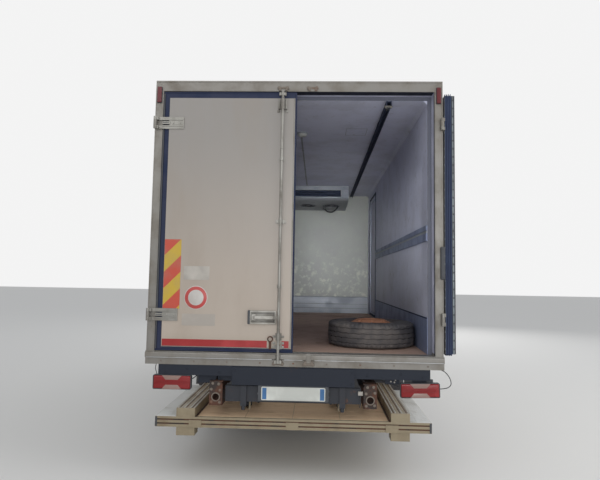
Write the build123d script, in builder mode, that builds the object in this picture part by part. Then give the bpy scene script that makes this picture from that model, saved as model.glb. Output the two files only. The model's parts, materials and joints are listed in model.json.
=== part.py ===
"""Refrigerated truck with a tilting cab, an insulated body and a slide-out tail lift.

Millimetres. +X is the truck's right side, +Y is forward and +Z is up.
The origin lies on the ground, below the middle of the vehicle.
"""

import math
import os

from build123d import *

os.makedirs("parts", exist_ok=True)

# Insulated body
BODY_WIDTH = 2500
BODY_LENGTH = 5465
REAR_Y = -3600
FLOOR_TOP = 1050
FLOOR_THICK = 107
CEILING_HEIGHT = 2221
ROOF_THICK = 124
SIDE_WALL = 105
FRONT_WALL = 100
HALF = BODY_WIDTH / 2
INNER_HALF = HALF - SIDE_WALL
FRONT_Y = REAR_Y + BODY_LENGTH
FRONT_INNER_Y = FRONT_Y - FRONT_WALL
FLOOR_UNDER = FLOOR_TOP - FLOOR_THICK
CEILING = FLOOR_TOP + CEILING_HEIGHT
ROOF_TOP = CEILING + ROOF_THICK

# Rear frame
POST_WIDTH = 70
POST_DEPTH = 120
OPENING_HEIGHT = 2254
HEADER_HEIGHT = 95
SILL_HEIGHT = 110
SILL_SIDE_PROUD = 5
LIP_PROUD = 15
LIP_HEIGHT = 49
OPENING_HALF = HALF - POST_WIDTH
OPENING_TOP = FLOOR_TOP + OPENING_HEIGHT
FRAME_TOP = OPENING_TOP + HEADER_HEIGHT
SHELL_REAR_Y = REAR_Y + POST_DEPTH
SILL_UNDER = FLOOR_TOP - SILL_HEIGHT

# Rear doors
DOOR_THICK = 95
DOOR_PROUD = 5
DOOR_SEAL_GAP = 3
SEAL_SIDE = 55
SEAL_TOP = 57
SEAL_UNDER = 33
SEAL_MIDDLE = 13
DOOR_HALF_GAP = 8
SEAL_SINK = 8
DOOR_PIVOT_IN = 10
DOOR_PIVOT_BACK = 28
DOOR_OPEN_ANGLE = 267
KNUCKLE_R = 14
KNUCKLE_HALF = 24
PIN_R = 6
PIN_PLAY = 0.1
STRAP_THICK = 8
STRAP_LENGTH = 250
STRAP_RIB = 28
STRAP_LINK = 120
KNUCKLE_GAP = 0.3
HINGE_HEIGHTS = (307, 1966)
BAR_R = 12
BAR_X = 128
BAR_STANDOFF = 27
BAR_BOTTOM = -80
BAR_TOP = 2250

# Chassis
TYRE_R = 415
TYRE_WIDTH = 235
RIM_R = 247
CAB_SPACE = 120
CAB_LENGTH = 1650
CAB_REAR_Y = FRONT_Y + CAB_SPACE
CAB_FRONT_Y = CAB_REAR_Y + CAB_LENGTH
FRONT_AXLE_Y = CAB_REAR_Y + 400
REAR_AXLE_Y = REAR_Y + 2040
FRONT_WHEEL_X = 945
TWIN_INNER_X = 800
TWIN_OUTER_X = 1056
KINGPIN_X = 830
RAIL_OUTER = 425
RAIL_FLANGE = 70
RAIL_THICK = 8
RAIL_HEIGHT = 220
RAIL_TOP = 870
RAIL_UNDER = RAIL_TOP - RAIL_HEIGHT
RAIL_REAR_Y = REAR_Y + 190
RAIL_FRONT_Y = CAB_FRONT_Y - 185
SPRING_X = 390
SPRING_WIDTH = 70

# Cab
CAB_HALF = 1100
CAB_UNDER = 800
CAB_WALL = 55
CAB_FLOOR_UNDER = 1000
CAB_FLOOR_TOP = 1050
ARCH_R = 510
TUNNEL_HALF = 380
TUNNEL_TOP = 1250
TUNNEL_WALL = 40
TILT_Y = CAB_FRONT_Y - 100
TILT_Z = 820
CAB_DOOR_FRONT_Y = CAB_FRONT_Y - 305
CAB_DOOR_REAR_Y = CAB_REAR_Y + 415
CAB_DOOR_UNDER = 945
CAB_DOOR_GAP = 12
CAB_DOOR_FRONT_GAP = 6
CAB_HINGE_X = CAB_HALF + 1
CAB_HINGE_HEIGHTS = (1090, 1430)

# Side door in the right wall
SIDE_DOOR_REAR_Y = REAR_Y + 4150
SIDE_DOOR_FRONT_Y = REAR_Y + 5050
SIDE_DOOR_UNDER = FLOOR_TOP + 12
SIDE_DOOR_TOP = FLOOR_TOP + 2050
SIDE_DOOR_GAP = 12
SIDE_DOOR_FRONT_GAP = 8
SIDE_DOOR_THICK = 90
SIDE_PIVOT_OUT = 14
SIDE_PIVOT_AHEAD = 20
SIDE_HINGE_HEIGHTS = (FLOOR_TOP + 300, FLOOR_TOP + 1750)

# Refrigeration unit and evaporator
UNIT_HALF = 875
UNIT_DEPTH = 420
UNIT_UNDER = 2900
UNIT_HEIGHT = 480
UNIT_LOUVRES = 5
UNIT_SWEEP = 130
SIDE_LOUVRES = 5
EVAPORATOR_HALF = 700
EVAPORATOR_DEPTH = 1060
EVAPORATOR_HEIGHT = 280
EVAPORATOR_FACE = 240
OUTLET_HALF = 571

# Tail lift
TRACK_X = 645
TRACK_WIDTH = 110
TRACK_UNDER = 610
TRACK_HEIGHT = 200
TRACK_LENGTH = 1480
TRACK_WALL = 8
ARM_X = 420
ARM_WIDTH = 30
ARM_REACH = 700
ARM_PIVOT_Y = REAR_Y + 1050
ARM_PIVOT_Z = 590
PLATFORM_PIVOT_Z = 550
PLATFORM_PIVOT_Y = ARM_PIVOT_Y - ARM_REACH
PLATFORM_HALF = 1150
PLATFORM_TOP = 510
PLATFORM_THICK = 85
PLATFORM_LENGTH = 1250
CHANNEL_X = 895
CHANNEL_WIDTH = 155
CHANNEL_HEIGHT = 70
FOOT_HEIGHT = 70
PIVOT_R = 15
PIVOT_PLAY = 0.1
BOSS_R = 28
TUBE_R = 22
SIDE_PLAY = 1


def block(x, y, z, mode=Mode.ADD):
    """A box between two values on each axis, in the part being made."""
    with Locations(((x[0] + x[1]) / 2, (y[0] + y[1]) / 2, (z[0] + z[1]) / 2)):
        Box(x[1] - x[0], y[1] - y[0], z[1] - z[0], mode=mode)


def side_prism(points, x, mode=Mode.ADD, rounding=0):
    """An outline in y and z, carried across from one x to another."""
    with BuildSketch(Plane.YZ.offset(x[0])) as outline:
        with BuildLine():
            Polyline(*points, close=True)
        make_face()
        if rounding:
            fillet(outline.vertices(), rounding)
    extrude(outline.sketch, amount=x[1] - x[0], mode=mode)


def rear_prism(points, y, mode=Mode.ADD, rounding=0):
    """An outline in x and z, carried forward from one y to another."""
    with BuildSketch(Plane.XZ.offset(-y[0])) as outline:
        with BuildLine():
            Polyline(*points, close=True)
        make_face()
        if rounding:
            fillet(outline.vertices(), rounding)
    extrude(outline.sketch, amount=y[0] - y[1], mode=mode)


def rod(start, end, radius, mode=Mode.ADD):
    """A round bar from one point to another."""
    path = Vector(*end) - Vector(*start)
    with BuildSketch(Plane(origin=start, z_dir=path)) as disc:
        Circle(radius)
    extrude(disc.sketch, amount=path.length, mode=mode)


def disc(x, y, z, radius, mode=Mode.ADD):
    """A round bar along x, between two x values."""
    rod((x[0], y, z), (x[1], y, z), radius, mode)


def turned(x, y, z, points):
    """A ring turned about a cross axis at y and z; points give the offset along x and the radius."""
    with BuildSketch(Plane(origin=(x, y, z), x_dir=(1, 0, 0), z_dir=(0, -1, 0))) as outline:
        with BuildLine():
            Polyline(*points, close=True)
        make_face()
    revolve(outline.sketch, axis=Axis((x, y, z), (1, 0, 0)))


# Propeller shaft, from the gearbox down to the rear axle
GEARBOX_Y = CAB_REAR_Y - 425
GEARBOX_Z = 700
SHAFT_R = 45
SHAFT_CLEARANCE = 45
SHAFT_FRONT = (0, GEARBOX_Y, GEARBOX_Z)
PINION_REACH = 330
SHAFT_REAR = (0, REAR_AXLE_Y + PINION_REACH + 4.5, TYRE_R + 20)

# Chassis frame: two channel rails, open inwards, with cross members and cab pivot brackets
TILT_BRACKET = 30
MEMBER_INSET = 30
MEMBER_DEPTH = 50
with BuildPart() as chassis_frame:
    for side in (-1, 1):
        web = sorted((side * (RAIL_OUTER - RAIL_THICK), side * RAIL_OUTER))
        flange = sorted((side * (RAIL_OUTER - RAIL_FLANGE), side * RAIL_OUTER))
        length = (RAIL_REAR_Y, RAIL_FRONT_Y)
        block(web, length, (RAIL_UNDER, RAIL_TOP))
        block(flange, length, (RAIL_TOP - RAIL_THICK, RAIL_TOP))
        block(flange, length, (RAIL_UNDER, RAIL_UNDER + RAIL_THICK))
        bracket = sorted((side * (RAIL_OUTER - TILT_BRACKET), side * RAIL_OUTER))
        side_prism(
            [
                (RAIL_FRONT_Y - 60, RAIL_UNDER + RAIL_THICK),
                (TILT_Y + 5, RAIL_UNDER + RAIL_THICK),
                (TILT_Y + 8, TILT_Z - 38),
                (TILT_Y + 30, TILT_Z - 18),
                (TILT_Y + 28, TILT_Z + 28),
                (TILT_Y - 35, TILT_Z + 35),
                (RAIL_FRONT_Y - 60, RAIL_TOP - RAIL_THICK),
            ],
            bracket,
        )
        disc(bracket, TILT_Y, TILT_Z, PIVOT_R + PIVOT_PLAY, Mode.SUBTRACT)
    cross_members = (
        RAIL_REAR_Y + 40,
        REAR_AXLE_Y - 620,
        REAR_AXLE_Y + 640,
        CAB_REAR_Y - 1685,
        CAB_REAR_Y - 535,
        RAIL_FRONT_Y - 120,
    )
    inner = RAIL_OUTER - RAIL_THICK
    low = RAIL_UNDER + MEMBER_INSET
    high = RAIL_TOP - MEMBER_INSET
    for y in cross_members:
        block((-inner, inner), (y, y + RAIL_THICK), (low, high))
        for z in (low, high - RAIL_THICK):
            block((-inner, inner), (y, y + MEMBER_DEPTH), (z, z + RAIL_THICK))
    rod(SHAFT_FRONT, SHAFT_REAR, SHAFT_R + SHAFT_CLEARANCE, Mode.SUBTRACT)
chassis_frame.part.label = "chassis_frame"
export_step(chassis_frame.part, "parts/chassis_frame.step")

# Body subframe: two long sills on the rails and cross bearers under the floor
BEARER_HALF = INNER_HALF - 5
BEARER_COUNT = 9
BEARER_WIDTH = 60
BEARER_FIRST = REAR_Y + 400
BEARER_STEP = (FRONT_Y - 90 - BEARER_FIRST) / (BEARER_COUNT - 1)
BEARERS = [BEARER_FIRST + row * BEARER_STEP for row in range(BEARER_COUNT)]
BEARER_UNDER = FLOOR_UNDER - 60
with BuildPart() as subframe:
    for side in (-1, 1):
        sill = sorted((side * (RAIL_OUTER - RAIL_FLANGE), side * RAIL_OUTER))
        block(sill, (RAIL_REAR_Y, FRONT_Y - 60), (RAIL_TOP, FLOOR_UNDER))
    for y in BEARERS:
        across = (-BEARER_HALF, BEARER_HALF)
        block(across, (y - BEARER_WIDTH / 2, y + BEARER_WIDTH / 2), (BEARER_UNDER, FLOOR_UNDER))
subframe.part.label = "subframe"
export_step(subframe.part, "parts/subframe.step")


LEAF_THICK = 18
LEAF_SHARES = (1.0, 0.75, 0.5)
EYE_R = 30


def leaf_spring(x, y, z_middle, z_eye, half_length):
    """A curved stack of leaves with an eye bracket at each end, hung from the rail."""
    across = (x - SPRING_WIDTH / 2, x + SPRING_WIDTH / 2)
    for leaf, share in enumerate(LEAF_SHARES):
        half = half_length * share
        rise = (z_eye - z_middle) * share**2
        base = z_middle - leaf * LEAF_THICK
        top = base + LEAF_THICK
        with BuildSketch(Plane.YZ.offset(across[0])) as outline:
            with BuildLine():
                ThreePointArc((y - half, base + rise), (y, base), (y + half, base + rise))
                Line((y + half, base + rise), (y + half, top + rise))
                ThreePointArc((y + half, top + rise), (y, top), (y - half, top + rise))
                Line((y - half, top + rise), (y - half, base + rise))
            make_face()
        extrude(outline.sketch, amount=SPRING_WIDTH)
    z = z_eye + LEAF_THICK / 2
    for end in (-1, 1):
        eye = y + end * half_length
        disc(across, eye, z, EYE_R)
        side_prism(
            [(eye - 22, z), (eye + 22, z), (eye + 60, RAIL_UNDER), (eye - 60, RAIL_UNDER)],
            (x - 22, x + 22),
        )


FRONT_SPRING_Z = 376
REAR_SPRING_Z = 536
with BuildPart() as leaf_springs:
    for x in (-SPRING_X, SPRING_X):
        leaf_spring(x, FRONT_AXLE_Y, FRONT_SPRING_Z, 505, 640)
        leaf_spring(x, REAR_AXLE_Y, REAR_SPRING_Z, 585, 600)
leaf_springs.part.label = "leaf_springs"
export_step(leaf_springs.part, "parts/leaf_springs.step")

# Front axle: dropped beam with a fist at each end that holds the kingpin
FIST_HALF = 58
FIST_R = 33
KINGPIN_R = 20
AXLE_BEAM_HALF = 38
AXLE_BEAM_HEIGHT = 90
with BuildPart() as front_axle:
    beam_top = FRONT_SPRING_Z - 2 * LEAF_THICK
    fist_under = TYRE_R - FIST_HALF
    fist_top = TYRE_R + FIST_HALF
    rear_prism(
        [
            (-KINGPIN_X, fist_top),
            (-KINGPIN_X, fist_under),
            (-KINGPIN_X + 60, fist_under),
            (-560, beam_top - AXLE_BEAM_HEIGHT),
            (560, beam_top - AXLE_BEAM_HEIGHT),
            (KINGPIN_X - 60, fist_under),
            (KINGPIN_X, fist_under),
            (KINGPIN_X, fist_top),
            (KINGPIN_X - 50, fist_top),
            (520, beam_top),
            (-520, beam_top),
            (-KINGPIN_X + 50, fist_top),
        ],
        (FRONT_AXLE_Y - AXLE_BEAM_HALF, FRONT_AXLE_Y + AXLE_BEAM_HALF),
    )
    for x in (-KINGPIN_X, KINGPIN_X):
        foot = (x, FRONT_AXLE_Y, fist_under)
        head = (x, FRONT_AXLE_Y, fist_top)
        rod(foot, head, FIST_R)
        rod(foot, head, KINGPIN_R + PIVOT_PLAY, Mode.SUBTRACT)
front_axle.part.label = "front_axle"
export_step(front_axle.part, "parts/front_axle.step")

# Rear axle: tube, gear housing and a pad under each spring
SPINDLE_R = 40
with BuildPart() as rear_axle:
    disc((-640, 640), REAR_AXLE_Y, TYRE_R, 72)
    disc((-TWIN_OUTER_X - 60, TWIN_OUTER_X + 60), REAR_AXLE_Y, TYRE_R, SPINDLE_R)
    with Locations((0, REAR_AXLE_Y, TYRE_R)):
        Sphere(170)
    rod((0, REAR_AXLE_Y, TYRE_R), (0, REAR_AXLE_Y + PINION_REACH, TYRE_R), 85)
    for x in (-SPRING_X, SPRING_X):
        pad = (x - 45, x + 45)
        block(pad, (REAR_AXLE_Y - 60, REAR_AXLE_Y + 60), (TYRE_R, REAR_SPRING_Z - 2 * LEAF_THICK))
rear_axle.part.label = "rear_axle"
export_step(rear_axle.part, "parts/rear_axle.step")

# Engine as one plain mass between the rails, under the cab floor
ENGINE_Y = (CAB_REAR_Y + 275, CAB_REAR_Y + 1165)
with BuildPart() as engine:
    block((-280, 280), ENGINE_Y, (520, 1150))
    fillet(engine.edges().filter_by(Axis.Y), 60)
engine.part.label = "engine"
export_step(engine.part, "parts/engine.step")

# Gearbox and propeller shaft down to the rear axle
with BuildPart() as driveline:
    rod(SHAFT_FRONT, (0, ENGINE_Y[0], GEARBOX_Z), 170)
    rod(SHAFT_FRONT, SHAFT_REAR, SHAFT_R)
    rod((0, GEARBOX_Y - 60, GEARBOX_Z - 5), (0, GEARBOX_Y + 10, GEARBOX_Z), 70)
driveline.part.label = "driveline"
export_step(driveline.part, "parts/driveline.step")

# Fuel tank on the left, with its two straps to the rail
TANK_X = (-1060, -470)
TANK_Y = (CAB_REAR_Y - 1035, CAB_REAR_Y - 265)
TANK_Z = (430, 850)
TANK_ROUNDING = 80
with BuildPart() as fuel_tank:
    block(TANK_X, TANK_Y, TANK_Z)
    fillet(fuel_tank.edges().filter_by(Axis.Y), TANK_ROUNDING)
    for y in (TANK_Y[0] + 170, TANK_Y[1] - 170):
        block((TANK_X[1] - 10, -RAIL_OUTER), (y - 30, y + 30), (700, 860))
    neck = (TANK_X[0] + 160, TANK_Y[0] + 350)
    rod((*neck, TANK_Z[1] - 10), (*neck, TANK_Z[1] + 28), 45)
fuel_tank.part.label = "fuel_tank"
export_step(fuel_tank.part, "parts/fuel_tank.step")

# Battery box on the right, with a step-edged lid
BATTERY_X = (520, 1060)
BATTERY_Y = (CAB_REAR_Y - 805, CAB_REAR_Y - 265)
BATTERY_Z = (470, 790)
LID_PROUD = 8
with BuildPart() as battery_box:
    block(BATTERY_X, BATTERY_Y, BATTERY_Z)
    fillet(battery_box.edges().filter_by(Axis.Z), 25)
    lid_x = (BATTERY_X[0] - LID_PROUD, BATTERY_X[1] + LID_PROUD)
    lid_y = (BATTERY_Y[0] - LID_PROUD, BATTERY_Y[1] + LID_PROUD)
    block(lid_x, lid_y, (BATTERY_Z[1], BATTERY_Z[1] + 22))
    for y in (BATTERY_Y[0] + 80, BATTERY_Y[1] - 100):
        block((RAIL_OUTER, BATTERY_X[0] + 10), (y - 25, y + 25), (690, 760))
battery_box.part.label = "battery_box"
export_step(battery_box.part, "parts/battery_box.step")

# Two compressed air tanks side by side, on cross straps from the left rail
AIR_TANK_R = 115
AIR_TANK_Y = (CAB_REAR_Y - 2165, CAB_REAR_Y - 1365)
AIR_TANK_Z = 700
AIR_TANK_X = (-570, -830)
with BuildPart() as air_tanks:
    for x in AIR_TANK_X:
        rod((x, AIR_TANK_Y[0], AIR_TANK_Z), (x, AIR_TANK_Y[1], AIR_TANK_Z), AIR_TANK_R)
    fillet(air_tanks.edges().filter_by(GeomType.CIRCLE), 40)
    for y in (AIR_TANK_Y[0] + 180, AIR_TANK_Y[1] - 180):
        strap = (AIR_TANK_Z + AIR_TANK_R - 5, AIR_TANK_Z + AIR_TANK_R + 7)
        block((AIR_TANK_X[1] - AIR_TANK_R - 5, -RAIL_OUTER), (y - 20, y + 20), strap)
air_tanks.part.label = "air_tanks"
export_step(air_tanks.part, "parts/air_tanks.step")

# Exhaust silencer with its tail pipe, on brackets from the right rail
SILENCER_Y = (CAB_REAR_Y - 1735, CAB_REAR_Y - 1005)
SILENCER_R = 160
TAIL_PIPE_R = 45
with BuildPart() as silencer:
    rod((700, SILENCER_Y[0], 650), (700, SILENCER_Y[1], 650), SILENCER_R)
    bend = (700, SILENCER_Y[0] - 120, 600)
    rod(bend, (700, SILENCER_Y[0] + 10, 600), TAIL_PIPE_R)
    rod(bend, (980, SILENCER_Y[0] - 120, 560), TAIL_PIPE_R)
    for y in (SILENCER_Y[0] + 130, SILENCER_Y[1] - 130):
        block((RAIL_OUTER, 600), (y - 20, y + 20), (700, 760))
silencer.part.label = "silencer"
export_step(silencer.part, "parts/silencer.step")


def fender(x, y, z, radius, thick, start, turn, mode=Mode.ADD):
    """A curved guard: part of a ring about a cross axis, given as a start angle and a turn."""
    with BuildSketch(Plane.YZ.offset(x[0])) as outline:
        with BuildLine():
            outer = CenterArc((y, z), radius + thick, start, turn)
            inner = CenterArc((y, z), radius, start, turn)
            Line(outer @ 0, inner @ 0)
            Line(outer @ 1, inner @ 1)
        make_face()
    extrude(outline.sketch, amount=x[1] - x[0], mode=mode)


# Wheel guards, each on stub arms from the rail
GUARD_THICK = 8
REAR_GUARD_R = TYRE_R + 25
FRONT_GUARD_R = TYRE_R + 65
REAR_ARM_AWAY = 350
FRONT_ARM_AWAY = 400
GUARD_ARM_R = 18
with BuildPart() as wheel_guards:
    for side in (-1, 1):
        rear_x = sorted((side * (TWIN_INNER_X - 130), side * (TWIN_OUTER_X + 129)))
        fender(rear_x, REAR_AXLE_Y, TYRE_R, REAR_GUARD_R, GUARD_THICK, 5, 170)
        front_x = sorted((side * (FRONT_WHEEL_X - 123), side * (FRONT_WHEEL_X + 135)))
        fender(front_x, FRONT_AXLE_Y, TYRE_R, FRONT_GUARD_R, GUARD_THICK, 92, 95)
        reach = math.sqrt((REAR_GUARD_R + GUARD_THICK / 2) ** 2 - REAR_ARM_AWAY**2)
        for y in (REAR_AXLE_Y - REAR_ARM_AWAY, REAR_AXLE_Y + REAR_ARM_AWAY):
            inner_end = (side * RAIL_OUTER, y, TYRE_R + reach)
            rod(inner_end, (side * (TWIN_OUTER_X + 94), y, TYRE_R + reach), GUARD_ARM_R)
        reach = math.sqrt((FRONT_GUARD_R + GUARD_THICK / 2) ** 2 - FRONT_ARM_AWAY**2)
        back = FRONT_AXLE_Y - FRONT_ARM_AWAY
        inner_end = (side * RAIL_OUTER, back, TYRE_R + reach)
        rod(inner_end, (side * (FRONT_WHEEL_X + 115), back, TYRE_R + reach), GUARD_ARM_R)
wheel_guards.part.label = "wheel_guards"
export_step(wheel_guards.part, "parts/wheel_guards.step")

# Side guards: two long rails on posts hung from the cross bearers
GUARD_X = HALF - 75
GUARD_DEPTH = 30
GUARD_HEIGHT = 110
GUARD_REAR_Y = REAR_AXLE_Y + 560
GUARD_FRONTS = ((-1, TANK_Y[0] - 100), (1, SILENCER_Y[0] - 170))
with BuildPart() as side_guards:
    for side, front in GUARD_FRONTS:
        rail_x = sorted((side * GUARD_X, side * (GUARD_X + GUARD_DEPTH)))
        post_x = sorted((side * BEARER_HALF, side * GUARD_X))
        for z in (470, 690):
            block(rail_x, (GUARD_REAR_Y, front), (z, z + GUARD_HEIGHT))
        for y in (GUARD_REAR_Y + 120, front - 120):
            block(post_x, (y - 25, y + 25), (480, FLOOR_UNDER))
side_guards.part.label = "side_guards"
export_step(side_guards.part, "parts/side_guards.step")

# Front bumper with its corner steps, left and right, below the cab's edge
BUMPER_FRONT = CAB_FRONT_Y + 25
BUMPER_LIP = 19
BUMPER_BACK = BUMPER_FRONT - 100
BUMPER_HALF = CAB_HALF
BUMPER_TOP = 690
LIP_TOP = 768
STEP_REAR_Y = FRONT_AXLE_Y + 495
STEP_FRONT_Y = CAB_FRONT_Y - 225
STEP_TOP = 780
STEP_UNDER = 400
HEAD_LAMP_X = (BUMPER_HALF - 340, BUMPER_HALF - 70)
HEAD_LAMP_Z = (500, 660)
HEAD_LAMP_DEPTH = 70
with BuildPart() as bumper:
    side_prism(
        [
            (BUMPER_BACK - 20, STEP_UNDER),
            (BUMPER_FRONT - 20, STEP_UNDER - 20),
            (BUMPER_FRONT, STEP_UNDER + 30),
            (BUMPER_FRONT, LIP_TOP),
            (BUMPER_FRONT - BUMPER_LIP, LIP_TOP),
            (BUMPER_FRONT - BUMPER_LIP, BUMPER_TOP),
            (BUMPER_BACK, BUMPER_TOP),
        ],
        (-BUMPER_HALF, BUMPER_HALF),
    )
    for side in (-1, 1):
        side_prism(
            [
                (STEP_REAR_Y, STEP_UNDER),
                (BUMPER_BACK, STEP_UNDER),
                (BUMPER_BACK, BUMPER_TOP),
                (STEP_FRONT_Y, BUMPER_TOP),
                (STEP_FRONT_Y, STEP_TOP),
                (STEP_REAR_Y, STEP_TOP),
            ],
            sorted((side * (BUMPER_HALF - 300), side * (BUMPER_HALF - 2))),
        )
        tread = sorted((side * (BUMPER_HALF - 200), side * (BUMPER_HALF + 10)))
        tread_y = (STEP_REAR_Y + 60, STEP_FRONT_Y - 30)
        block(tread, tread_y, (620, 730), Mode.SUBTRACT)
        block(tread, tread_y, (445, 580), Mode.SUBTRACT)
        lamp = sorted((side * HEAD_LAMP_X[0], side * HEAD_LAMP_X[1]))
        block(lamp, (BUMPER_FRONT - HEAD_LAMP_DEPTH, BUMPER_FRONT + 10), HEAD_LAMP_Z, Mode.SUBTRACT)
        stay = sorted((side * (RAIL_OUTER - RAIL_FLANGE), side * RAIL_OUTER))
        block(stay, (RAIL_FRONT_Y - 150, BUMPER_BACK), (490, RAIL_UNDER))
    block((-220, 220), (BUMPER_FRONT - 40, BUMPER_FRONT + 10), (430, 520), Mode.SUBTRACT)
bumper.part.label = "bumper"
export_step(bumper.part, "parts/bumper.step")

# Lamps: head lamps in the bumper, tail lamps under the sill, red marker lamps on the posts
TAIL_LAMP_HALF = 163
TAIL_LAMP_HEIGHT = 120
TAIL_LAMP_Y = (REAR_Y - 12, REAR_Y + 38)
TAIL_LAMPS = (
    # x of the middle, z of the middle
    (-HALF + 230, FLOOR_TOP - 258),
    (HALF - 194, FLOOR_TOP - 279),
)
MARKER_X = HALF - 35
with BuildPart() as lamps:
    for side in (-1, 1):
        glass_x = sorted((side * (HEAD_LAMP_X[0] + 2), side * (HEAD_LAMP_X[1] - 2)))
        glass_z = (HEAD_LAMP_Z[0] + 2, HEAD_LAMP_Z[1] - 2)
        block(glass_x, (BUMPER_FRONT - HEAD_LAMP_DEPTH, BUMPER_FRONT - 6), glass_z)
        marker_z = (FLOOR_TOP + 2150, FLOOR_TOP + 2290)
        block((side * MARKER_X - 20, side * MARKER_X + 20), (REAR_Y - 22, REAR_Y), marker_z)
    for x, z in TAIL_LAMPS:
        lamp_z = (z - TAIL_LAMP_HEIGHT / 2, z + TAIL_LAMP_HEIGHT / 2)
        block((x - TAIL_LAMP_HALF, x + TAIL_LAMP_HALF), TAIL_LAMP_Y, lamp_z)
lamps.part.label = "lamps"
export_step(lamps.part, "parts/lamps.step")

# Insulated panels, the walls with a rail along their foot and the roof with one along each edge
EDGE_PROUD = 4
FOOT_RAIL = 85
ROOF_RAIL = 45
with BuildPart() as floor:
    block((-INNER_HALF, INNER_HALF), (SHELL_REAR_Y, FRONT_INNER_Y), (FLOOR_UNDER, FLOOR_TOP))
floor.part.label = "floor"
export_step(floor.part, "parts/floor.step")

with BuildPart() as wall_left:
    block((-HALF, -INNER_HALF), (SHELL_REAR_Y, FRONT_Y), (FLOOR_UNDER, CEILING))
    foot_rail = (FLOOR_UNDER, FLOOR_UNDER + FOOT_RAIL)
    block((-HALF - EDGE_PROUD, -HALF), (SHELL_REAR_Y, FRONT_Y), foot_rail)
wall_left.part.label = "wall_left"
export_step(wall_left.part, "parts/wall_left.step")

SIDE_PIVOT_X = HALF + SIDE_PIVOT_OUT
SIDE_PIVOT_Y = SIDE_DOOR_FRONT_Y + SIDE_PIVOT_AHEAD
SIDE_KNUCKLE_R = 12
SIDE_KNUCKLE_HALF = 22
SIDE_RIB = 22
SIDE_RIB_PLAY = 1
with BuildPart() as wall_right:
    block((INNER_HALF, HALF), (SHELL_REAR_Y, FRONT_Y), (FLOOR_UNDER, CEILING))
    block((HALF, HALF + EDGE_PROUD), (SHELL_REAR_Y, FRONT_Y), foot_rail)
    block(
        (INNER_HALF - 10, HALF + 10),
        (SIDE_DOOR_REAR_Y, SIDE_DOOR_FRONT_Y),
        (SIDE_DOOR_UNDER, SIDE_DOOR_TOP),
        Mode.SUBTRACT,
    )
    for z in SIDE_HINGE_HEIGHTS:
        foot = (SIDE_PIVOT_X, SIDE_PIVOT_Y, z - SIDE_KNUCKLE_HALF)
        head = (SIDE_PIVOT_X, SIDE_PIVOT_Y, z + SIDE_KNUCKLE_HALF)
        rod(foot, head, SIDE_KNUCKLE_R)
        block((HALF, SIDE_PIVOT_X), (SIDE_PIVOT_Y, SIDE_PIVOT_Y + 60), (foot[2], head[2]))
        rod(foot, head, PIN_R + PIN_PLAY, Mode.SUBTRACT)
wall_right.part.label = "wall_right"
export_step(wall_right.part, "parts/wall_right.step")

with BuildPart() as front_wall:
    block((-INNER_HALF, INNER_HALF), (FRONT_INNER_Y, FRONT_Y), (FLOOR_UNDER, CEILING))
front_wall.part.label = "front_wall"
export_step(front_wall.part, "parts/front_wall.step")

with BuildPart() as roof:
    block((-HALF, HALF), (SHELL_REAR_Y, FRONT_Y), (CEILING, ROOF_TOP))
    fillet(roof.edges().filter_by(Axis.Y).group_by(Axis.Z)[-1], 18)
    for side in (-1, 1):
        edge = sorted((side * HALF, side * (HALF + EDGE_PROUD)))
        block(edge, (SHELL_REAR_Y, FRONT_Y), (CEILING - ROOF_RAIL, ROOF_TOP - 25))
roof.part.label = "roof"
export_step(roof.part, "parts/roof.step")

# Rear frame: two posts, header and sill, with the fixed hinge knuckles and the bar keepers
KEEPER_HALF = 38
KEEPER_THICK = 8
NOTCH_HALF = 22
with BuildPart() as rear_frame:
    depth = (REAR_Y, SHELL_REAR_Y)
    for side in (-1, 1):
        block(sorted((side * OPENING_HALF, side * HALF)), depth, (FLOOR_TOP, OPENING_TOP))
    block((-HALF, HALF), depth, (OPENING_TOP, FRAME_TOP))
    sill_half = HALF + SILL_SIDE_PROUD
    block((-sill_half, sill_half), depth, (SILL_UNDER, FLOOR_TOP))
    lip_z = (FLOOR_TOP - 6 - LIP_HEIGHT, FLOOR_TOP - 6)
    block((-sill_half, sill_half), (REAR_Y - LIP_PROUD, REAR_Y), lip_z)
    fillet(rear_frame.edges().filter_by(Axis.X).group_by(Axis.Y)[0], 12)
    for side in (-1, 1):
        pivot_x = side * (HALF - DOOR_PIVOT_IN)
        pivot_y = REAR_Y - DOOR_PIVOT_BACK
        for height in HINGE_HEIGHTS:
            foot = (pivot_x, pivot_y, FLOOR_TOP + height - KNUCKLE_HALF)
            head = (pivot_x, pivot_y, FLOOR_TOP + height + KNUCKLE_HALF)
            rod(foot, head, KNUCKLE_R)
            leaf = sorted((pivot_x - side * KNUCKLE_R, pivot_x + side * 2))
            block(leaf, (pivot_y, REAR_Y), (foot[2], head[2]))
            rod(foot, head, PIN_R + PIN_PLAY, Mode.SUBTRACT)
        keeper_x = (side * BAR_X - KEEPER_HALF, side * BAR_X + KEEPER_HALF)
        keeper_y = (REAR_Y - KEEPER_THICK, REAR_Y)
        block(keeper_x, keeper_y, (OPENING_TOP + 4, OPENING_TOP + 50))
        block(keeper_x, keeper_y, (SILL_UNDER + 5, SILL_UNDER + 50))
        notch_x = (side * BAR_X - NOTCH_HALF, side * BAR_X + NOTCH_HALF)
        block(notch_x, (REAR_Y - LIP_PROUD - 1, REAR_Y), (lip_z[0] - 1, lip_z[1] + 1), Mode.SUBTRACT)
rear_frame.part.label = "rear_frame"
export_step(rear_frame.part, "parts/rear_frame.step")


SEAL_INNER_X = DOOR_HALF_GAP + SEAL_MIDDLE
SEAL_OUTER_X = OPENING_HALF - DOOR_SEAL_GAP - SEAL_SIDE
DOOR_END_GAP = 5
SEAL_Z = (FLOOR_TOP + DOOR_END_GAP, OPENING_TOP - DOOR_END_GAP)
LEAF_Z = (SEAL_Z[0] + SEAL_UNDER, SEAL_Z[1] - SEAL_TOP)


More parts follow.
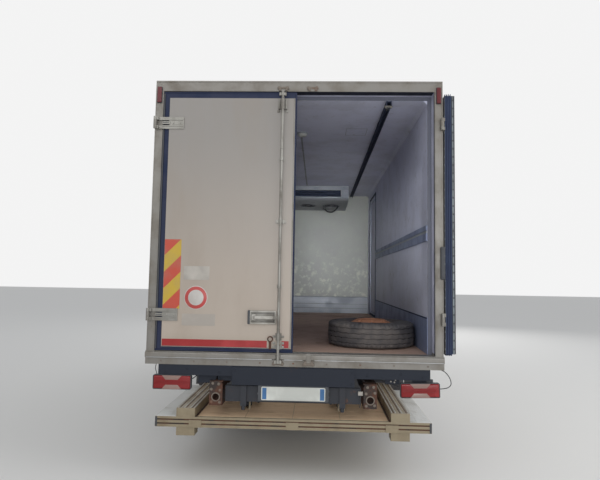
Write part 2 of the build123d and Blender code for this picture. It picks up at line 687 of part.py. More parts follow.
def door_panel(side):
    """The insulated leaf of a rear door, as it lies closed on its own side."""
    leaf_y = (REAR_Y - DOOR_PROUD, REAR_Y - DOOR_PROUD + DOOR_THICK)
    block(sorted((side * SEAL_INNER_X, side * SEAL_OUTER_X)), leaf_y, LEAF_Z)


def door_seal(side):
    """The rubber frame round a rear door's leaf."""
    x = sorted((side * DOOR_HALF_GAP, side * (OPENING_HALF - DOOR_SEAL_GAP)))
    y = (REAR_Y - DOOR_PROUD + SEAL_SINK, REAR_Y - DOOR_PROUD + DOOR_THICK - SEAL_SINK)
    block(x, y, SEAL_Z)
    block(sorted((side * SEAL_INNER_X, side * SEAL_OUTER_X)), y, LEAF_Z, Mode.SUBTRACT)


BAR_GUIDES = (
    # height above the floor, length along the bar, half width
    (54, 34, 30),
    (139, 58, 26),
    (560, 30, 20),
    (1110, 40, 22),
    (1650, 30, 20),
    (2135, 90, 26),
)
CAM_HEIGHTS = (BAR_BOTTOM + 14, BAR_TOP - 30)
CAM_HALF = 30
CAM_TALL = 26
HANDLE_PLATE_X = (150, 386)
HANDLE_PLATE_Z = (FLOOR_TOP + 242, FLOOR_TOP + 354)
HANDLE_RIM = 14
HANDLE_DEPTH = 18


def bar_gear(side, face):
    """The upright locking bar of a rear door with its guides, cams, handle and handle tray."""
    bar_x = side * BAR_X
    bar_y = face - BAR_STANDOFF
    rod((bar_x, bar_y, FLOOR_TOP + BAR_BOTTOM), (bar_x, bar_y, FLOOR_TOP + BAR_TOP), BAR_R)
    for height, tall, half in BAR_GUIDES:
        z = (FLOOR_TOP + height - tall / 2, FLOOR_TOP + height + tall / 2)
        block((bar_x - half, bar_x + half), (face - 6, face), z)
        rod((bar_x, bar_y, z[0]), (bar_x, bar_y, z[1]), BAR_R + 5)
        block((bar_x - BAR_R - 5, bar_x + BAR_R + 5), (bar_y, face), z)
    for height in CAM_HEIGHTS:
        z = (FLOOR_TOP + height - CAM_TALL / 2, FLOOR_TOP + height + CAM_TALL / 2)
        rod((bar_x, bar_y, z[0]), (bar_x, bar_y, z[1]), BAR_R + 5)
        block((bar_x - CAM_HALF, bar_x + CAM_HALF), (bar_y - 8, bar_y + 8), z)
        for tooth in (-1, 1):
            hook = sorted((bar_x + tooth * (CAM_HALF - 10), bar_x + tooth * CAM_HALF))
            block(hook, (bar_y, bar_y + BAR_R + 2), z)
    tray = sorted((side * HANDLE_PLATE_X[0], side * HANDLE_PLATE_X[1]))
    block(tray, (face - HANDLE_DEPTH, face), HANDLE_PLATE_Z)
    well = (tray[0] + HANDLE_RIM, tray[1] - HANDLE_RIM)
    well_z = (HANDLE_PLATE_Z[0] + HANDLE_RIM, HANDLE_PLATE_Z[1] - HANDLE_RIM)
    block(well, (face - HANDLE_DEPTH - 1, face - 4), well_z, Mode.SUBTRACT)
    handle_z = (sum(HANDLE_PLATE_Z) / 2 - 13, sum(HANDLE_PLATE_Z) / 2 + 13)
    handle = sorted((bar_x, side * (HANDLE_PLATE_X[1] - 40)))
    block(handle, (bar_y - 6, bar_y + 6), handle_z)
    catch = sorted((side * (HANDLE_PLATE_X[1] - 70), side * (HANDLE_PLATE_X[1] - 40)))
    block(catch, (bar_y, face - 3), handle_z)


def door_gear(side):
    """Hinge straps with their pins, and the locking bar's gear."""
    face = REAR_Y - DOOR_PROUD
    pivot_x = side * (HALF - DOOR_PIVOT_IN)
    pivot_y = REAR_Y - DOOR_PIVOT_BACK
    near = KNUCKLE_HALF + KNUCKLE_GAP
    far = near + STRAP_RIB
    inner = pivot_x - side * STRAP_LENGTH
    for height in HINGE_HEIGHTS:
        z = FLOOR_TOP + height
        rod((pivot_x, pivot_y, z - far), (pivot_x, pivot_y, z + far), PIN_R)
        for span in ((z - far, z - near), (z + near, z + far)):
            rod((pivot_x, pivot_y, span[0]), (pivot_x, pivot_y, span[1]), KNUCKLE_R)
            block(sorted((inner, pivot_x)), (face - STRAP_THICK, face), span)
            block(sorted((pivot_x - side * 2 * KNUCKLE_R, pivot_x)), (pivot_y, face), span)
        block(sorted((inner, pivot_x - side * STRAP_LINK)), (face - STRAP_THICK, face), (z - 40, z + 40))
    bar_gear(side, face)


DOOR_REST = ((-1, "left", 0), (1, "right", DOOR_OPEN_ANGLE))
for side, name, angle in DOOR_REST:
    hinge_line = Axis((side * (HALF - DOOR_PIVOT_IN), REAR_Y - DOOR_PIVOT_BACK, 0), (0, 0, 1))

    with BuildPart() as leaf:
        door_panel(side)
    leaf_part = leaf.part.rotate(hinge_line, side * angle)
    leaf_part.label = "rear_door_" + name
    export_step(leaf_part, "parts/rear_door_" + name + ".step")

    with BuildPart() as seal:
        door_seal(side)
    seal_part = seal.part.rotate(hinge_line, side * angle)
    seal_part.label = "door_seal_" + name
    export_step(seal_part, "parts/door_seal_" + name + ".step")

    with BuildPart() as gear:
        door_gear(side)
    gear_part = gear.part.rotate(hinge_line, side * angle)
    gear_part.label = "door_gear_" + name
    export_step(gear_part, "parts/door_gear_" + name + ".step")

# Side door: a leaf set in the right wall, hung on two hinges at its front edge
with BuildPart() as side_door:
    leaf_x = (HALF - SIDE_DOOR_THICK, HALF)
    leaf_y = (SIDE_DOOR_REAR_Y + SIDE_DOOR_GAP, SIDE_DOOR_FRONT_Y - SIDE_DOOR_FRONT_GAP)
    block(leaf_x, leaf_y, (SIDE_DOOR_UNDER + 8, SIDE_DOOR_TOP - 8))
    for z in SIDE_HINGE_HEIGHTS:
        rib_near = SIDE_KNUCKLE_HALF + SIDE_RIB_PLAY
        rib_far = rib_near + SIDE_RIB
        foot = (SIDE_PIVOT_X, SIDE_PIVOT_Y, z - rib_far)
        rod(foot, (SIDE_PIVOT_X, SIDE_PIVOT_Y, z + rib_far), PIN_R)
        for span in ((z - rib_far, z - rib_near), (z + rib_near, z + rib_far)):
            foot = (SIDE_PIVOT_X, SIDE_PIVOT_Y, span[0])
            rod(foot, (SIDE_PIVOT_X, SIDE_PIVOT_Y, span[1]), SIDE_KNUCKLE_R)
            block((HALF + 5, SIDE_PIVOT_X), (leaf_y[1] - 160, SIDE_PIVOT_Y), span)
            block((HALF, HALF + 6), (leaf_y[1] - 160, leaf_y[1] - 10), span)
    bar_y = leaf_y[0] + 75
    side_bar_z = (SIDE_DOOR_UNDER + 60, SIDE_DOOR_TOP - 60)
    rod((HALF + 25, bar_y, side_bar_z[0]), (HALF + 25, bar_y, side_bar_z[1]), BAR_R)
    for z in (side_bar_z[0] + 50, FLOOR_TOP + 700, FLOOR_TOP + 1400, side_bar_z[1] - 50):
        block((HALF, HALF + 40), (bar_y - 24, bar_y + 24), (z - 20, z + 20))
    block((HALF + 20, HALF + 32), (bar_y, bar_y + 260), (FLOOR_TOP + 380, FLOOR_TOP + 410))
    block((HALF, HALF + 20), (bar_y + 180, bar_y + 240), (FLOOR_TOP + 360, FLOOR_TOP + 430))
side_door.part.label = "side_door"
export_step(side_door.part, "parts/side_door.step")

# Refrigeration unit on the front wall, with a louvred grille in its sloped face
with BuildPart() as cooling_unit:
    unit_top = UNIT_UNDER + UNIT_HEIGHT
    side_prism(
        [
            (FRONT_Y, UNIT_UNDER),
            (FRONT_Y + UNIT_DEPTH - 60, UNIT_UNDER),
            (FRONT_Y + UNIT_DEPTH, UNIT_UNDER + 60),
            (FRONT_Y + UNIT_DEPTH - 40, unit_top - 90),
            (FRONT_Y + UNIT_DEPTH - 140, unit_top),
            (FRONT_Y, unit_top),
        ],
        (-UNIT_HALF, UNIT_HALF),
        rounding=25,
    )
    for side in (-1, 1):
        with BuildSketch(Plane.XY.offset(UNIT_UNDER - 10)):
            with BuildLine():
                Polyline(
                    (side * (UNIT_HALF + 10), FRONT_Y + UNIT_DEPTH - UNIT_SWEEP),
                    (side * (UNIT_HALF - UNIT_SWEEP), FRONT_Y + UNIT_DEPTH + 10),
                    (side * (UNIT_HALF + 10), FRONT_Y + UNIT_DEPTH + 10),
                    close=True,
                )
            make_face()
        extrude(amount=UNIT_HEIGHT + 20, mode=Mode.SUBTRACT)
        vent = sorted((side * (UNIT_HALF - 25), side * (UNIT_HALF + 5)))
        for row in range(SIDE_LOUVRES):
            z = UNIT_UNDER + 130 + row * 50
            block(vent, (FRONT_Y + 60, FRONT_Y + 220), (z, z + 24), Mode.SUBTRACT)
    louvre_y = (FRONT_Y + UNIT_DEPTH - 120, FRONT_Y + UNIT_DEPTH + 5)
    for row in range(UNIT_LOUVRES):
        z = UNIT_UNDER + 110 + row * 55
        for x in (-430, 430):
            block((x - 300, x + 300), louvre_y, (z, z + 28), Mode.SUBTRACT)
cooling_unit.part.label = "cooling_unit"
export_step(cooling_unit.part, "parts/cooling_unit.step")

# Evaporator housing under the ceiling at the front wall: outlet in its face, fan wells in its underside
FAN_PLACES = (-430, 0, 430)
FAN_R = 150
FAN_WELL_TOP = 215
with BuildPart() as evaporator:
    side_prism(
        [
            (FRONT_INNER_Y, CEILING),
            (FRONT_INNER_Y - EVAPORATOR_DEPTH, CEILING),
            (FRONT_INNER_Y - EVAPORATOR_DEPTH, CEILING - EVAPORATOR_FACE + 30),
            (FRONT_INNER_Y - EVAPORATOR_DEPTH + 45, CEILING - EVAPORATOR_FACE),
            (FRONT_INNER_Y - 60, CEILING - EVAPORATOR_HEIGHT),
            (FRONT_INNER_Y, CEILING - EVAPORATOR_HEIGHT),
        ],
        (-EVAPORATOR_HALF, EVAPORATOR_HALF),
    )
    outlet_z = (CEILING - 186, CEILING - 74)
    outlet_y = (FRONT_INNER_Y - EVAPORATOR_DEPTH - 5, FRONT_INNER_Y - EVAPORATOR_DEPTH + 80)
    block((-OUTLET_HALF, OUTLET_HALF), outlet_y, outlet_z, Mode.SUBTRACT)
    hung = (Align.CENTER, Align.CENTER, Align.MAX)
    for x in FAN_PLACES:
        with Locations((x, FRONT_INNER_Y - EVAPORATOR_DEPTH * 0.45, CEILING - FAN_WELL_TOP)):
            Cylinder(FAN_R, 80, align=hung, mode=Mode.SUBTRACT)
            Cylinder(FAN_R / 3, 40, align=hung)
evaporator.part.label = "evaporator"
export_step(evaporator.part, "parts/evaporator.step")

# Load rails along the ceiling, each a channel with its lips turned down
RAIL_X = INNER_HALF - 337
with BuildPart() as ceiling_rails:
    for x in (-RAIL_X, RAIL_X):
        length = (SHELL_REAR_Y + 10, FRONT_INNER_Y)
        block((x - 24, x + 24), length, (CEILING - 8, CEILING))
        block((x - 24, x - 18), length, (CEILING - 40, CEILING - 8))
        block((x + 18, x + 24), length, (CEILING - 40, CEILING - 8))
ceiling_rails.part.label = "ceiling_rails"
export_step(ceiling_rails.part, "parts/ceiling_rails.step")

# Kick plates and rub rails on the inside of the walls
KICK_HEIGHT = 310
RUB_RAILS = ((FLOOR_TOP + 975, FLOOR_TOP + 1043), (FLOOR_TOP + 1067, FLOOR_TOP + 1111))
RUB_RAIL_PROUD = 14
with BuildPart() as wall_guards:
    kick = (FLOOR_TOP, FLOOR_TOP + KICK_HEIGHT)
    reach_left = (SHELL_REAR_Y + 10, FRONT_INNER_Y - 12)
    reach_right = (SHELL_REAR_Y + 10, SIDE_DOOR_REAR_Y - 30)
    block((-INNER_HALF, -INNER_HALF + 4), reach_left, kick)
    block((INNER_HALF - 4, INNER_HALF), reach_right, kick)
    block((-INNER_HALF + 4, INNER_HALF - 4), (FRONT_INNER_Y - 6, FRONT_INNER_Y), kick)
    for z in RUB_RAILS:
        block((-INNER_HALF, -INNER_HALF + RUB_RAIL_PROUD), reach_left, z)
        block((INNER_HALF - RUB_RAIL_PROUD, INNER_HALF), reach_right, z)
wall_guards.part.label = "wall_guards"
export_step(wall_guards.part, "parts/wall_guards.step")


# Wheels
TYRE_OUTLINE = (
    # offset across the tyre, radius
    (-78, RIM_R),
    (-78, RIM_R + 15),
    (-104, RIM_R + 24),
    (-117.5, RIM_R + 76),
    (-108, TYRE_R - 34),
    (-86, TYRE_R - 4),
    (-70, TYRE_R),
    (70, TYRE_R),
    (86, TYRE_R - 4),
    (108, TYRE_R - 34),
    (117.5, RIM_R + 76),
    (104, RIM_R + 24),
    (78, RIM_R + 15),
    (78, RIM_R),
)


def tyre(x, y, z):
    """A road tyre about a cross axis, with its section closed at the rim."""
    turned(x, y, z, TYRE_OUTLINE)


BARREL_OUTLINE = (
    # offset across the rim, radius
    (-86, RIM_R + 14),
    (-78, RIM_R + 14),
    (-78, RIM_R),
    (78, RIM_R),
    (78, RIM_R + 14),
    (86, RIM_R + 14),
    (86, RIM_R - 10),
    (20, RIM_R - 28),
    (-70, RIM_R - 28),
    (-86, RIM_R - 10),
)
DISH = (TWIN_OUTER_X - TWIN_INNER_X) / 2
HOLE_CIRCLE_R = 164
HOLE_R = 23
HOLE_COUNT = 8


def wheel_disc(x, y, z, out, centre_r):
    """A pressed wheel: a dished disc with hand holes, turned outwards or inwards, in its rim barrel."""
    dish = (
        (36, RIM_R - 22),
        (50, RIM_R - 22),
        (DISH - 32, 196),
        (DISH, 134),
        (DISH, centre_r),
        (DISH - 14, centre_r),
        (DISH - 14, 128),
        (DISH - 46, 190),
    )
    turned(x, y, z, [(out * offset, radius) for offset, radius in dish])
    with BuildSketch(Plane(origin=(x - DISH - 5, y, z), x_dir=(0, 1, 0), z_dir=(1, 0, 0))) as holes:
        with PolarLocations(HOLE_CIRCLE_R, HOLE_COUNT):
            Circle(HOLE_R)
    extrude(holes.sketch, amount=2 * DISH + 10, mode=Mode.SUBTRACT)
    turned(x, y, z, [(out * offset, radius) for offset, radius in BARREL_OUTLINE])


def hub(x, y, z, out, reach, bore):
    """Hub with the brake drum behind it, turned about the spindle; reach is how far its nose stands out."""
    outline = (
        (-48, 150),
        (46, 150),
        (46, 118),
        (DISH - 14, 118),
        (DISH - 14, 80),
        (reach, 74),
        (reach, bore),
        (-48, bore),
    )
    turned(x, y, z, [(out * offset, radius) for offset, radius in outline])


HUB_BORE = SPINDLE_R + PIVOT_PLAY
KNUCKLE_PLAY = 4
KNUCKLE_FREE = 5
KNUCKLE_ARM_THICK = 30
KNUCKLE_REACH = 60
for side, name in ((-1, "left"), (1, "right")):
    with BuildPart() as front_tyre:
        tyre(side * FRONT_WHEEL_X, FRONT_AXLE_Y, TYRE_R)
    front_tyre.part.label = "tyre_front_" + name
    export_step(front_tyre.part, "parts/tyre_front_" + name + ".step")

    with BuildPart() as front_rim:
        wheel_disc(side * FRONT_WHEEL_X, FRONT_AXLE_Y, TYRE_R, side, 76)
        hub(side * FRONT_WHEEL_X, FRONT_AXLE_Y, TYRE_R, side, DISH + 22, HUB_BORE)
    front_rim.part.label = "rim_front_" + name
    export_step(front_rim.part, "parts/rim_front_" + name + ".step")

    with BuildPart() as rear_tyres:
        tyre(side * TWIN_INNER_X, REAR_AXLE_Y, TYRE_R)
        tyre(side * TWIN_OUTER_X, REAR_AXLE_Y, TYRE_R)
    rear_tyres.part.label = "tyres_rear_" + name
    export_step(rear_tyres.part, "parts/tyres_rear_" + name + ".step")

    with BuildPart() as rear_rims:
        wheel_disc(side * TWIN_INNER_X, REAR_AXLE_Y, TYRE_R, side, 76)
        wheel_disc(side * TWIN_OUTER_X, REAR_AXLE_Y, TYRE_R, -side, 76)
        hub(side * TWIN_INNER_X, REAR_AXLE_Y, TYRE_R, side, DISH + 120, HUB_BORE)
    rear_rims.part.label = "rims_rear_" + name
    export_step(rear_rims.part, "parts/rims_rear_" + name + ".step")

    with BuildPart() as knuckle:
        x = side * KINGPIN_X
        near = FIST_HALF + KNUCKLE_PLAY
        far = near + KNUCKLE_ARM_THICK
        plate = sorted((x + side * (FIST_R + KNUCKLE_FREE), x + side * KNUCKLE_REACH))
        block(plate, (FRONT_AXLE_Y - 36, FRONT_AXLE_Y + 36), (TYRE_R - far, TYRE_R + far))
        arm = sorted((x, x + side * KNUCKLE_REACH))
        for z in (sorted((TYRE_R - far, TYRE_R - near)), sorted((TYRE_R + near, TYRE_R + far))):
            rod((x, FRONT_AXLE_Y, z[0]), (x, FRONT_AXLE_Y, z[1]), 36)
            block(arm, (FRONT_AXLE_Y - 30, FRONT_AXLE_Y + 30), z)
        rod((x, FRONT_AXLE_Y, TYRE_R - near), (x, FRONT_AXLE_Y, TYRE_R + near), KINGPIN_R)
        disc(sorted((x + side * 50, x + side * 230)), FRONT_AXLE_Y, TYRE_R, SPINDLE_R)
    knuckle.part.label = "knuckle_" + name
    export_step(knuckle.part, "parts/knuckle_" + name + ".step")

# Spare wheel lying on the load floor
SPARE_X = INNER_HALF - 425
SPARE_Y = REAR_Y + 740
SPARE_Z = FLOOR_TOP + TYRE_WIDTH / 2
stand_up = Axis((SPARE_X, SPARE_Y, SPARE_Z), (0, 1, 0))
with BuildPart() as spare_upright:
    tyre(SPARE_X, SPARE_Y, SPARE_Z)
spare_tyre = spare_upright.part.rotate(stand_up, 90)
spare_tyre.label = "spare_tyre"
export_step(spare_tyre, "parts/spare_tyre.step")

with BuildPart() as spare_disc:
    wheel_disc(SPARE_X, SPARE_Y, SPARE_Z, -1, 110)
spare_rim = spare_disc.part.rotate(stand_up, 90)
spare_rim.label = "spare_rim"
export_step(spare_rim, "parts/spare_rim.step")

# Cab outline, level by level
CAB_LEVELS = (
    # height, half width, front y, bow of the front, corner radius, rear y
    (CAB_UNDER, CAB_HALF - 5, CAB_FRONT_Y, 45, 110, CAB_REAR_Y),
    (1500, CAB_HALF, CAB_FRONT_Y - 5, 55, 120, CAB_REAR_Y),
    (2380, CAB_HALF - 50, CAB_FRONT_Y - 195, 70, 140, CAB_REAR_Y),
    (2480, CAB_HALF - 90, CAB_FRONT_Y - 265, 70, 160, CAB_REAR_Y + 10),
    (2545, CAB_HALF - 170, CAB_FRONT_Y - 385, 65, 170, CAB_REAR_Y + 55),
    (2560, CAB_HALF - 250, CAB_FRONT_Y - 505, 60, 170, CAB_REAR_Y + 115),
)


def cab_outline(z, inset):
    """The level outline of the cab at a height, drawn in from the skin by an inset."""
    for low, high in zip(CAB_LEVELS, CAB_LEVELS[1:]):
        if low[0] <= z <= high[0]:
            share = (z - low[0]) / (high[0] - low[0])
            half, front, bow, corner, rear = (a + (b - a) * share for a, b in zip(low[1:], high[1:]))
    half = half - inset
    front = front - inset
    rear = rear + inset
    with BuildSketch(Plane.XY.offset(z)) as outline:
        with BuildLine():
            Polyline((-half, front - bow), (-half, rear), (half, rear), (half, front - bow))
            ThreePointArc((half, front - bow), (0, front), (-half, front - bow))
        make_face()
        fillet(outline.vertices().group_by(Axis.Y)[-1], corner)
    return outline.sketch


def cab_solid(heights, inset, mode=Mode.ADD):
    """The cab's form between the first and the last of the heights, as a ruled loft."""
    loft([cab_outline(z, inset) for z in heights], ruled=True, mode=mode)


CAB_HEIGHTS = [level[0] for level in CAB_LEVELS]
INNER_HEIGHTS = (CAB_FLOOR_TOP, 1500, 2380, 2480, 2515)
SCREEN_FOOT = CAB_HALF - 110
SCREEN_HEAD = CAB_HALF - 175
WINDSCREEN = ((-SCREEN_FOOT, 1570), (SCREEN_FOOT, 1570), (SCREEN_HEAD, 2350), (-SCREEN_HEAD, 2350))
REAR_WINDOW = ((-480, 1700), (480, 1700), (480, 2200), (-480, 2200))
CAB_DOOR_TOP = 2350
CAB_DOOR_BEND = 1540
CAB_DOOR_LEAN = 155
CAB_DOOR_OUTLINE = (
    (CAB_DOOR_REAR_Y, CAB_DOOR_UNDER),
    (CAB_DOOR_FRONT_Y, CAB_DOOR_UNDER),
    (CAB_DOOR_FRONT_Y, CAB_DOOR_BEND),
    (CAB_DOOR_FRONT_Y - CAB_DOOR_LEAN, CAB_DOOR_TOP),
    (CAB_DOOR_REAR_Y, CAB_DOOR_TOP),
)
DOOR_WINDOW = (
    (CAB_DOOR_REAR_Y + 80, CAB_DOOR_BEND + 20),
    (CAB_DOOR_FRONT_Y - 68, CAB_DOOR_BEND + 20),
    (CAB_DOOR_FRONT_Y - CAB_DOOR_LEAN - 47, CAB_DOOR_TOP - 65),
    (CAB_DOOR_REAR_Y + 80, CAB_DOOR_TOP - 65),
)
WINDSCREEN_Y = (CAB_FRONT_Y - 485, CAB_FRONT_Y + 65)
REAR_WINDOW_Y = (CAB_REAR_Y - 20, CAB_REAR_Y + 100)
WINDOW_ROUNDING = 50
GLASS_SETBACK = 14
GLASS_THICK = 6
GLASS_PLAY = 0.3
GRILLE_ROWS = 5
CAB_HINGE_R = 11
CAB_RIB_NEAR = 21
CAB_RIB_FAR = 41


def cab_hinge_rod(side, z, radius, mode=Mode.ADD):
    """A round bar on a cab door's hinge line, between two heights."""
    foot = (side * CAB_HINGE_X, CAB_DOOR_FRONT_Y, z[0])
    rod(foot, (side * CAB_HINGE_X, CAB_DOOR_FRONT_Y, z[1]), radius, mode)


with BuildPart() as cab_shell:
    cab_solid(CAB_HEIGHTS, 0)
    cab_solid(INNER_HEIGHTS, CAB_WALL, Mode.SUBTRACT)
    skirt = CAB_HALF - 5 - CAB_WALL
    skirt_y = (CAB_REAR_Y - 10, CAB_FRONT_Y - CAB_WALL - 5)
    block((-skirt, skirt), skirt_y, (CAB_UNDER - 10, CAB_FLOOR_UNDER), Mode.SUBTRACT)
    across = (-CAB_HALF - 100, CAB_HALF + 100)
    block(across, (CAB_REAR_Y - 10, FRONT_AXLE_Y), (CAB_UNDER - 10, TYRE_R + ARCH_R), Mode.SUBTRACT)
    disc(across, FRONT_AXLE_Y, TYRE_R, ARCH_R, Mode.SUBTRACT)
    tunnel_front = CAB_FRONT_Y - 235
    block((-TUNNEL_HALF, TUNNEL_HALF), (CAB_REAR_Y + 10, tunnel_front), (CAB_FLOOR_UNDER, TUNNEL_TOP))
    tunnel_inner = TUNNEL_HALF - TUNNEL_WALL
    block(
        (-tunnel_inner, tunnel_inner),
        (CAB_REAR_Y - 10, tunnel_front - TUNNEL_WALL),
        (CAB_FLOOR_UNDER - 10, TUNNEL_TOP - TUNNEL_WALL),
        Mode.SUBTRACT,
    )
    rear_prism(WINDSCREEN, WINDSCREEN_Y, Mode.SUBTRACT, WINDOW_ROUNDING)
    rear_prism(REAR_WINDOW, REAR_WINDOW_Y, Mode.SUBTRACT, WINDOW_ROUNDING)
    for row in range(GRILLE_ROWS):
        z = 930 + row * 95
        block((-640, 640), (CAB_FRONT_Y - 95, CAB_FRONT_Y + 15), (z, z + 45), Mode.SUBTRACT)
    upper_door = [(y, max(z, CAB_FLOOR_TOP)) for y, z in CAB_DOOR_OUTLINE]
    for side in (-1, 1):
        beyond = side * (CAB_HALF + 100)
        side_prism(CAB_DOOR_OUTLINE, (side * (skirt - 6), beyond), Mode.SUBTRACT)
        side_prism(upper_door, (side * (CAB_HALF - 200), beyond), Mode.SUBTRACT)
        for z in CAB_HINGE_HEIGHTS:
            cab_hinge_rod(side, (z - CAB_RIB_FAR - 5, z + CAB_RIB_FAR + 5), CAB_HINGE_R + 7, Mode.SUBTRACT)
            cab_hinge_rod(side, (z - 20, z + 20), CAB_HINGE_R)
            leaf_x = sorted((side * (CAB_HINGE_X - CAB_HINGE_R), side * (CAB_HINGE_X + 3)))
            block(leaf_x, (CAB_DOOR_FRONT_Y, CAB_DOOR_FRONT_Y + 40), (z - 20, z + 20))
            cab_hinge_rod(side, (z - 25, z + 25), PIN_R + PIN_PLAY, Mode.SUBTRACT)
        lug = sorted((side * (RAIL_OUTER - 90), side * (RAIL_OUTER - TILT_BRACKET - SIDE_PLAY)))
        side_prism(
            [
                (TILT_Y - 32, TILT_Z - 26),
                (TILT_Y + 50, TILT_Z - 26),
                (TILT_Y + 50, CAB_FLOOR_UNDER + 20),
                (TILT_Y - 60, CAB_FLOOR_UNDER + 20),
            ],
            lug,
        )
        disc(sorted((side * (RAIL_OUTER - 60), side * RAIL_OUTER)), TILT_Y, TILT_Z, PIVOT_R)
cab_shell.part.label = "cab_shell"
export_step(cab_shell.part, "parts/cab_shell.step")

# Windscreen and rear window panes
with BuildPart() as cab_glass:
    cab_solid(INNER_HEIGHTS, GLASS_SETBACK)
    cab_solid(INNER_HEIGHTS, GLASS_SETBACK + GLASS_THICK, Mode.SUBTRACT)
    with BuildPart(mode=Mode.PRIVATE) as panes:
        for points, y in ((WINDSCREEN, WINDSCREEN_Y), (REAR_WINDOW, REAR_WINDOW_Y)):
            with BuildSketch(Plane.XZ.offset(-y[0])) as pane:
                with BuildLine():
                    Polyline(*points, close=True)
                make_face()
                fillet(pane.vertices(), WINDOW_ROUNDING)
                offset(amount=-GLASS_PLAY)
            extrude(amount=y[0] - y[1])
    add(panes.part, mode=Mode.INTERSECT)
cab_glass.part.label = "cab_glass"
export_step(cab_glass.part, "parts/cab_glass.step")

# Dashboard with the steering column and wheel, on the left
DASH_Y = CAB_FRONT_Y - 145
DRIVER_X = 505 - CAB_HALF
WHEEL_RING_R = 215
with BuildPart() as dashboard:
    side_prism(
        [
            (DASH_Y - 160, TUNNEL_TOP),
            (DASH_Y, TUNNEL_TOP),
            (DASH_Y, 1530),
            (DASH_Y - 190, 1510),
            (DASH_Y - 250, 1440),
            (DASH_Y - 240, 1330),
        ],
        (140 - CAB_HALF, CAB_HALF - 140),
    )
    wheel_centre = (DRIVER_X, DASH_Y - 430, 1450)
    rod(wheel_centre, (DRIVER_X, DASH_Y - 190, 1330), 30)
    steering_plane = Plane(origin=wheel_centre, z_dir=(0, -0.9, 0.45))
    with BuildPart(steering_plane, mode=Mode.PRIVATE) as wheel_ring:
        Torus(WHEEL_RING_R, 16)
        Cylinder(50, 30)
        with PolarLocations(WHEEL_RING_R / 2 + 12, 3, start_angle=90):
            Box(200, 24, 14)
    add(wheel_ring.part)
dashboard.part.label = "dashboard"
export_step(dashboard.part, "parts/dashboard.step")

# Seats: cushion, back and head rest for the driver and a double bench for the passengers
SEAT_Y = CAB_REAR_Y + 345
SEATS = (
    # left x, right x, number of places
    (DRIVER_X - 205, DRIVER_X + 205, 1),
    (CAB_HALF - 710, CAB_HALF - 160, 2),
)
with BuildPart() as seats:
    for left, right, places in SEATS:
        base = [(30, CAB_FLOOR_TOP), (470, CAB_FLOOR_TOP), (510, 1330), (10, 1330)]
        cushion = [(-30, 1330), (530, 1330), (550, 1400), (510, 1450), (0, 1430)]
        back = [(0, 1430), (110, 1435), (0, 1990), (-100, 1980), (-120, 1500)]
        for shape, inset in ((base, 40), (cushion, 0), (back, 0)):
            side_prism([(SEAT_Y + y, z) for y, z in shape], (left + inset, right - inset))
        for place in range(places):
            x = left + (place + 0.5) * (right - left) / places
            rest = [(SEAT_Y - 95, 2000), (SEAT_Y - 25, 2000), (SEAT_Y - 40, 2160), (SEAT_Y - 100, 2160)]
            side_prism(rest, (x - 95, x + 95))
            block((x - 40, x + 40), (SEAT_Y - 70, SEAT_Y - 50), (1975, 2010))
seats.part.label = "seats"
export_step(seats.part, "parts/seats.step")

# Mirrors on bracket arms ahead of the doors
MIRROR_X = (CAB_HALF + 90, CAB_HALF + 300)
MIRROR_Y = CAB_FRONT_Y - 165
MIRROR_ARM_R = 12
with BuildPart() as mirrors:
    for side in (-1, 1):
        block(sorted((side * MIRROR_X[0], side * MIRROR_X[1])), (MIRROR_Y - 30, MIRROR_Y + 40), (1720, 2120))
        foot = (side * (CAB_HALF + 190), MIRROR_Y, 1690)
        head = (side * (CAB_HALF + 190), MIRROR_Y, 2150)
        rod(foot, head, MIRROR_ARM_R)
        for end in (foot, head):
            rod((side * (CAB_HALF - 80), MIRROR_Y - 100, end[2]), end, MIRROR_ARM_R)
    cab_solid((CAB_UNDER, 1500, 2380), 0, Mode.SUBTRACT)
mirrors.part.label = "mirrors"
export_step(mirrors.part, "parts/mirrors.step")

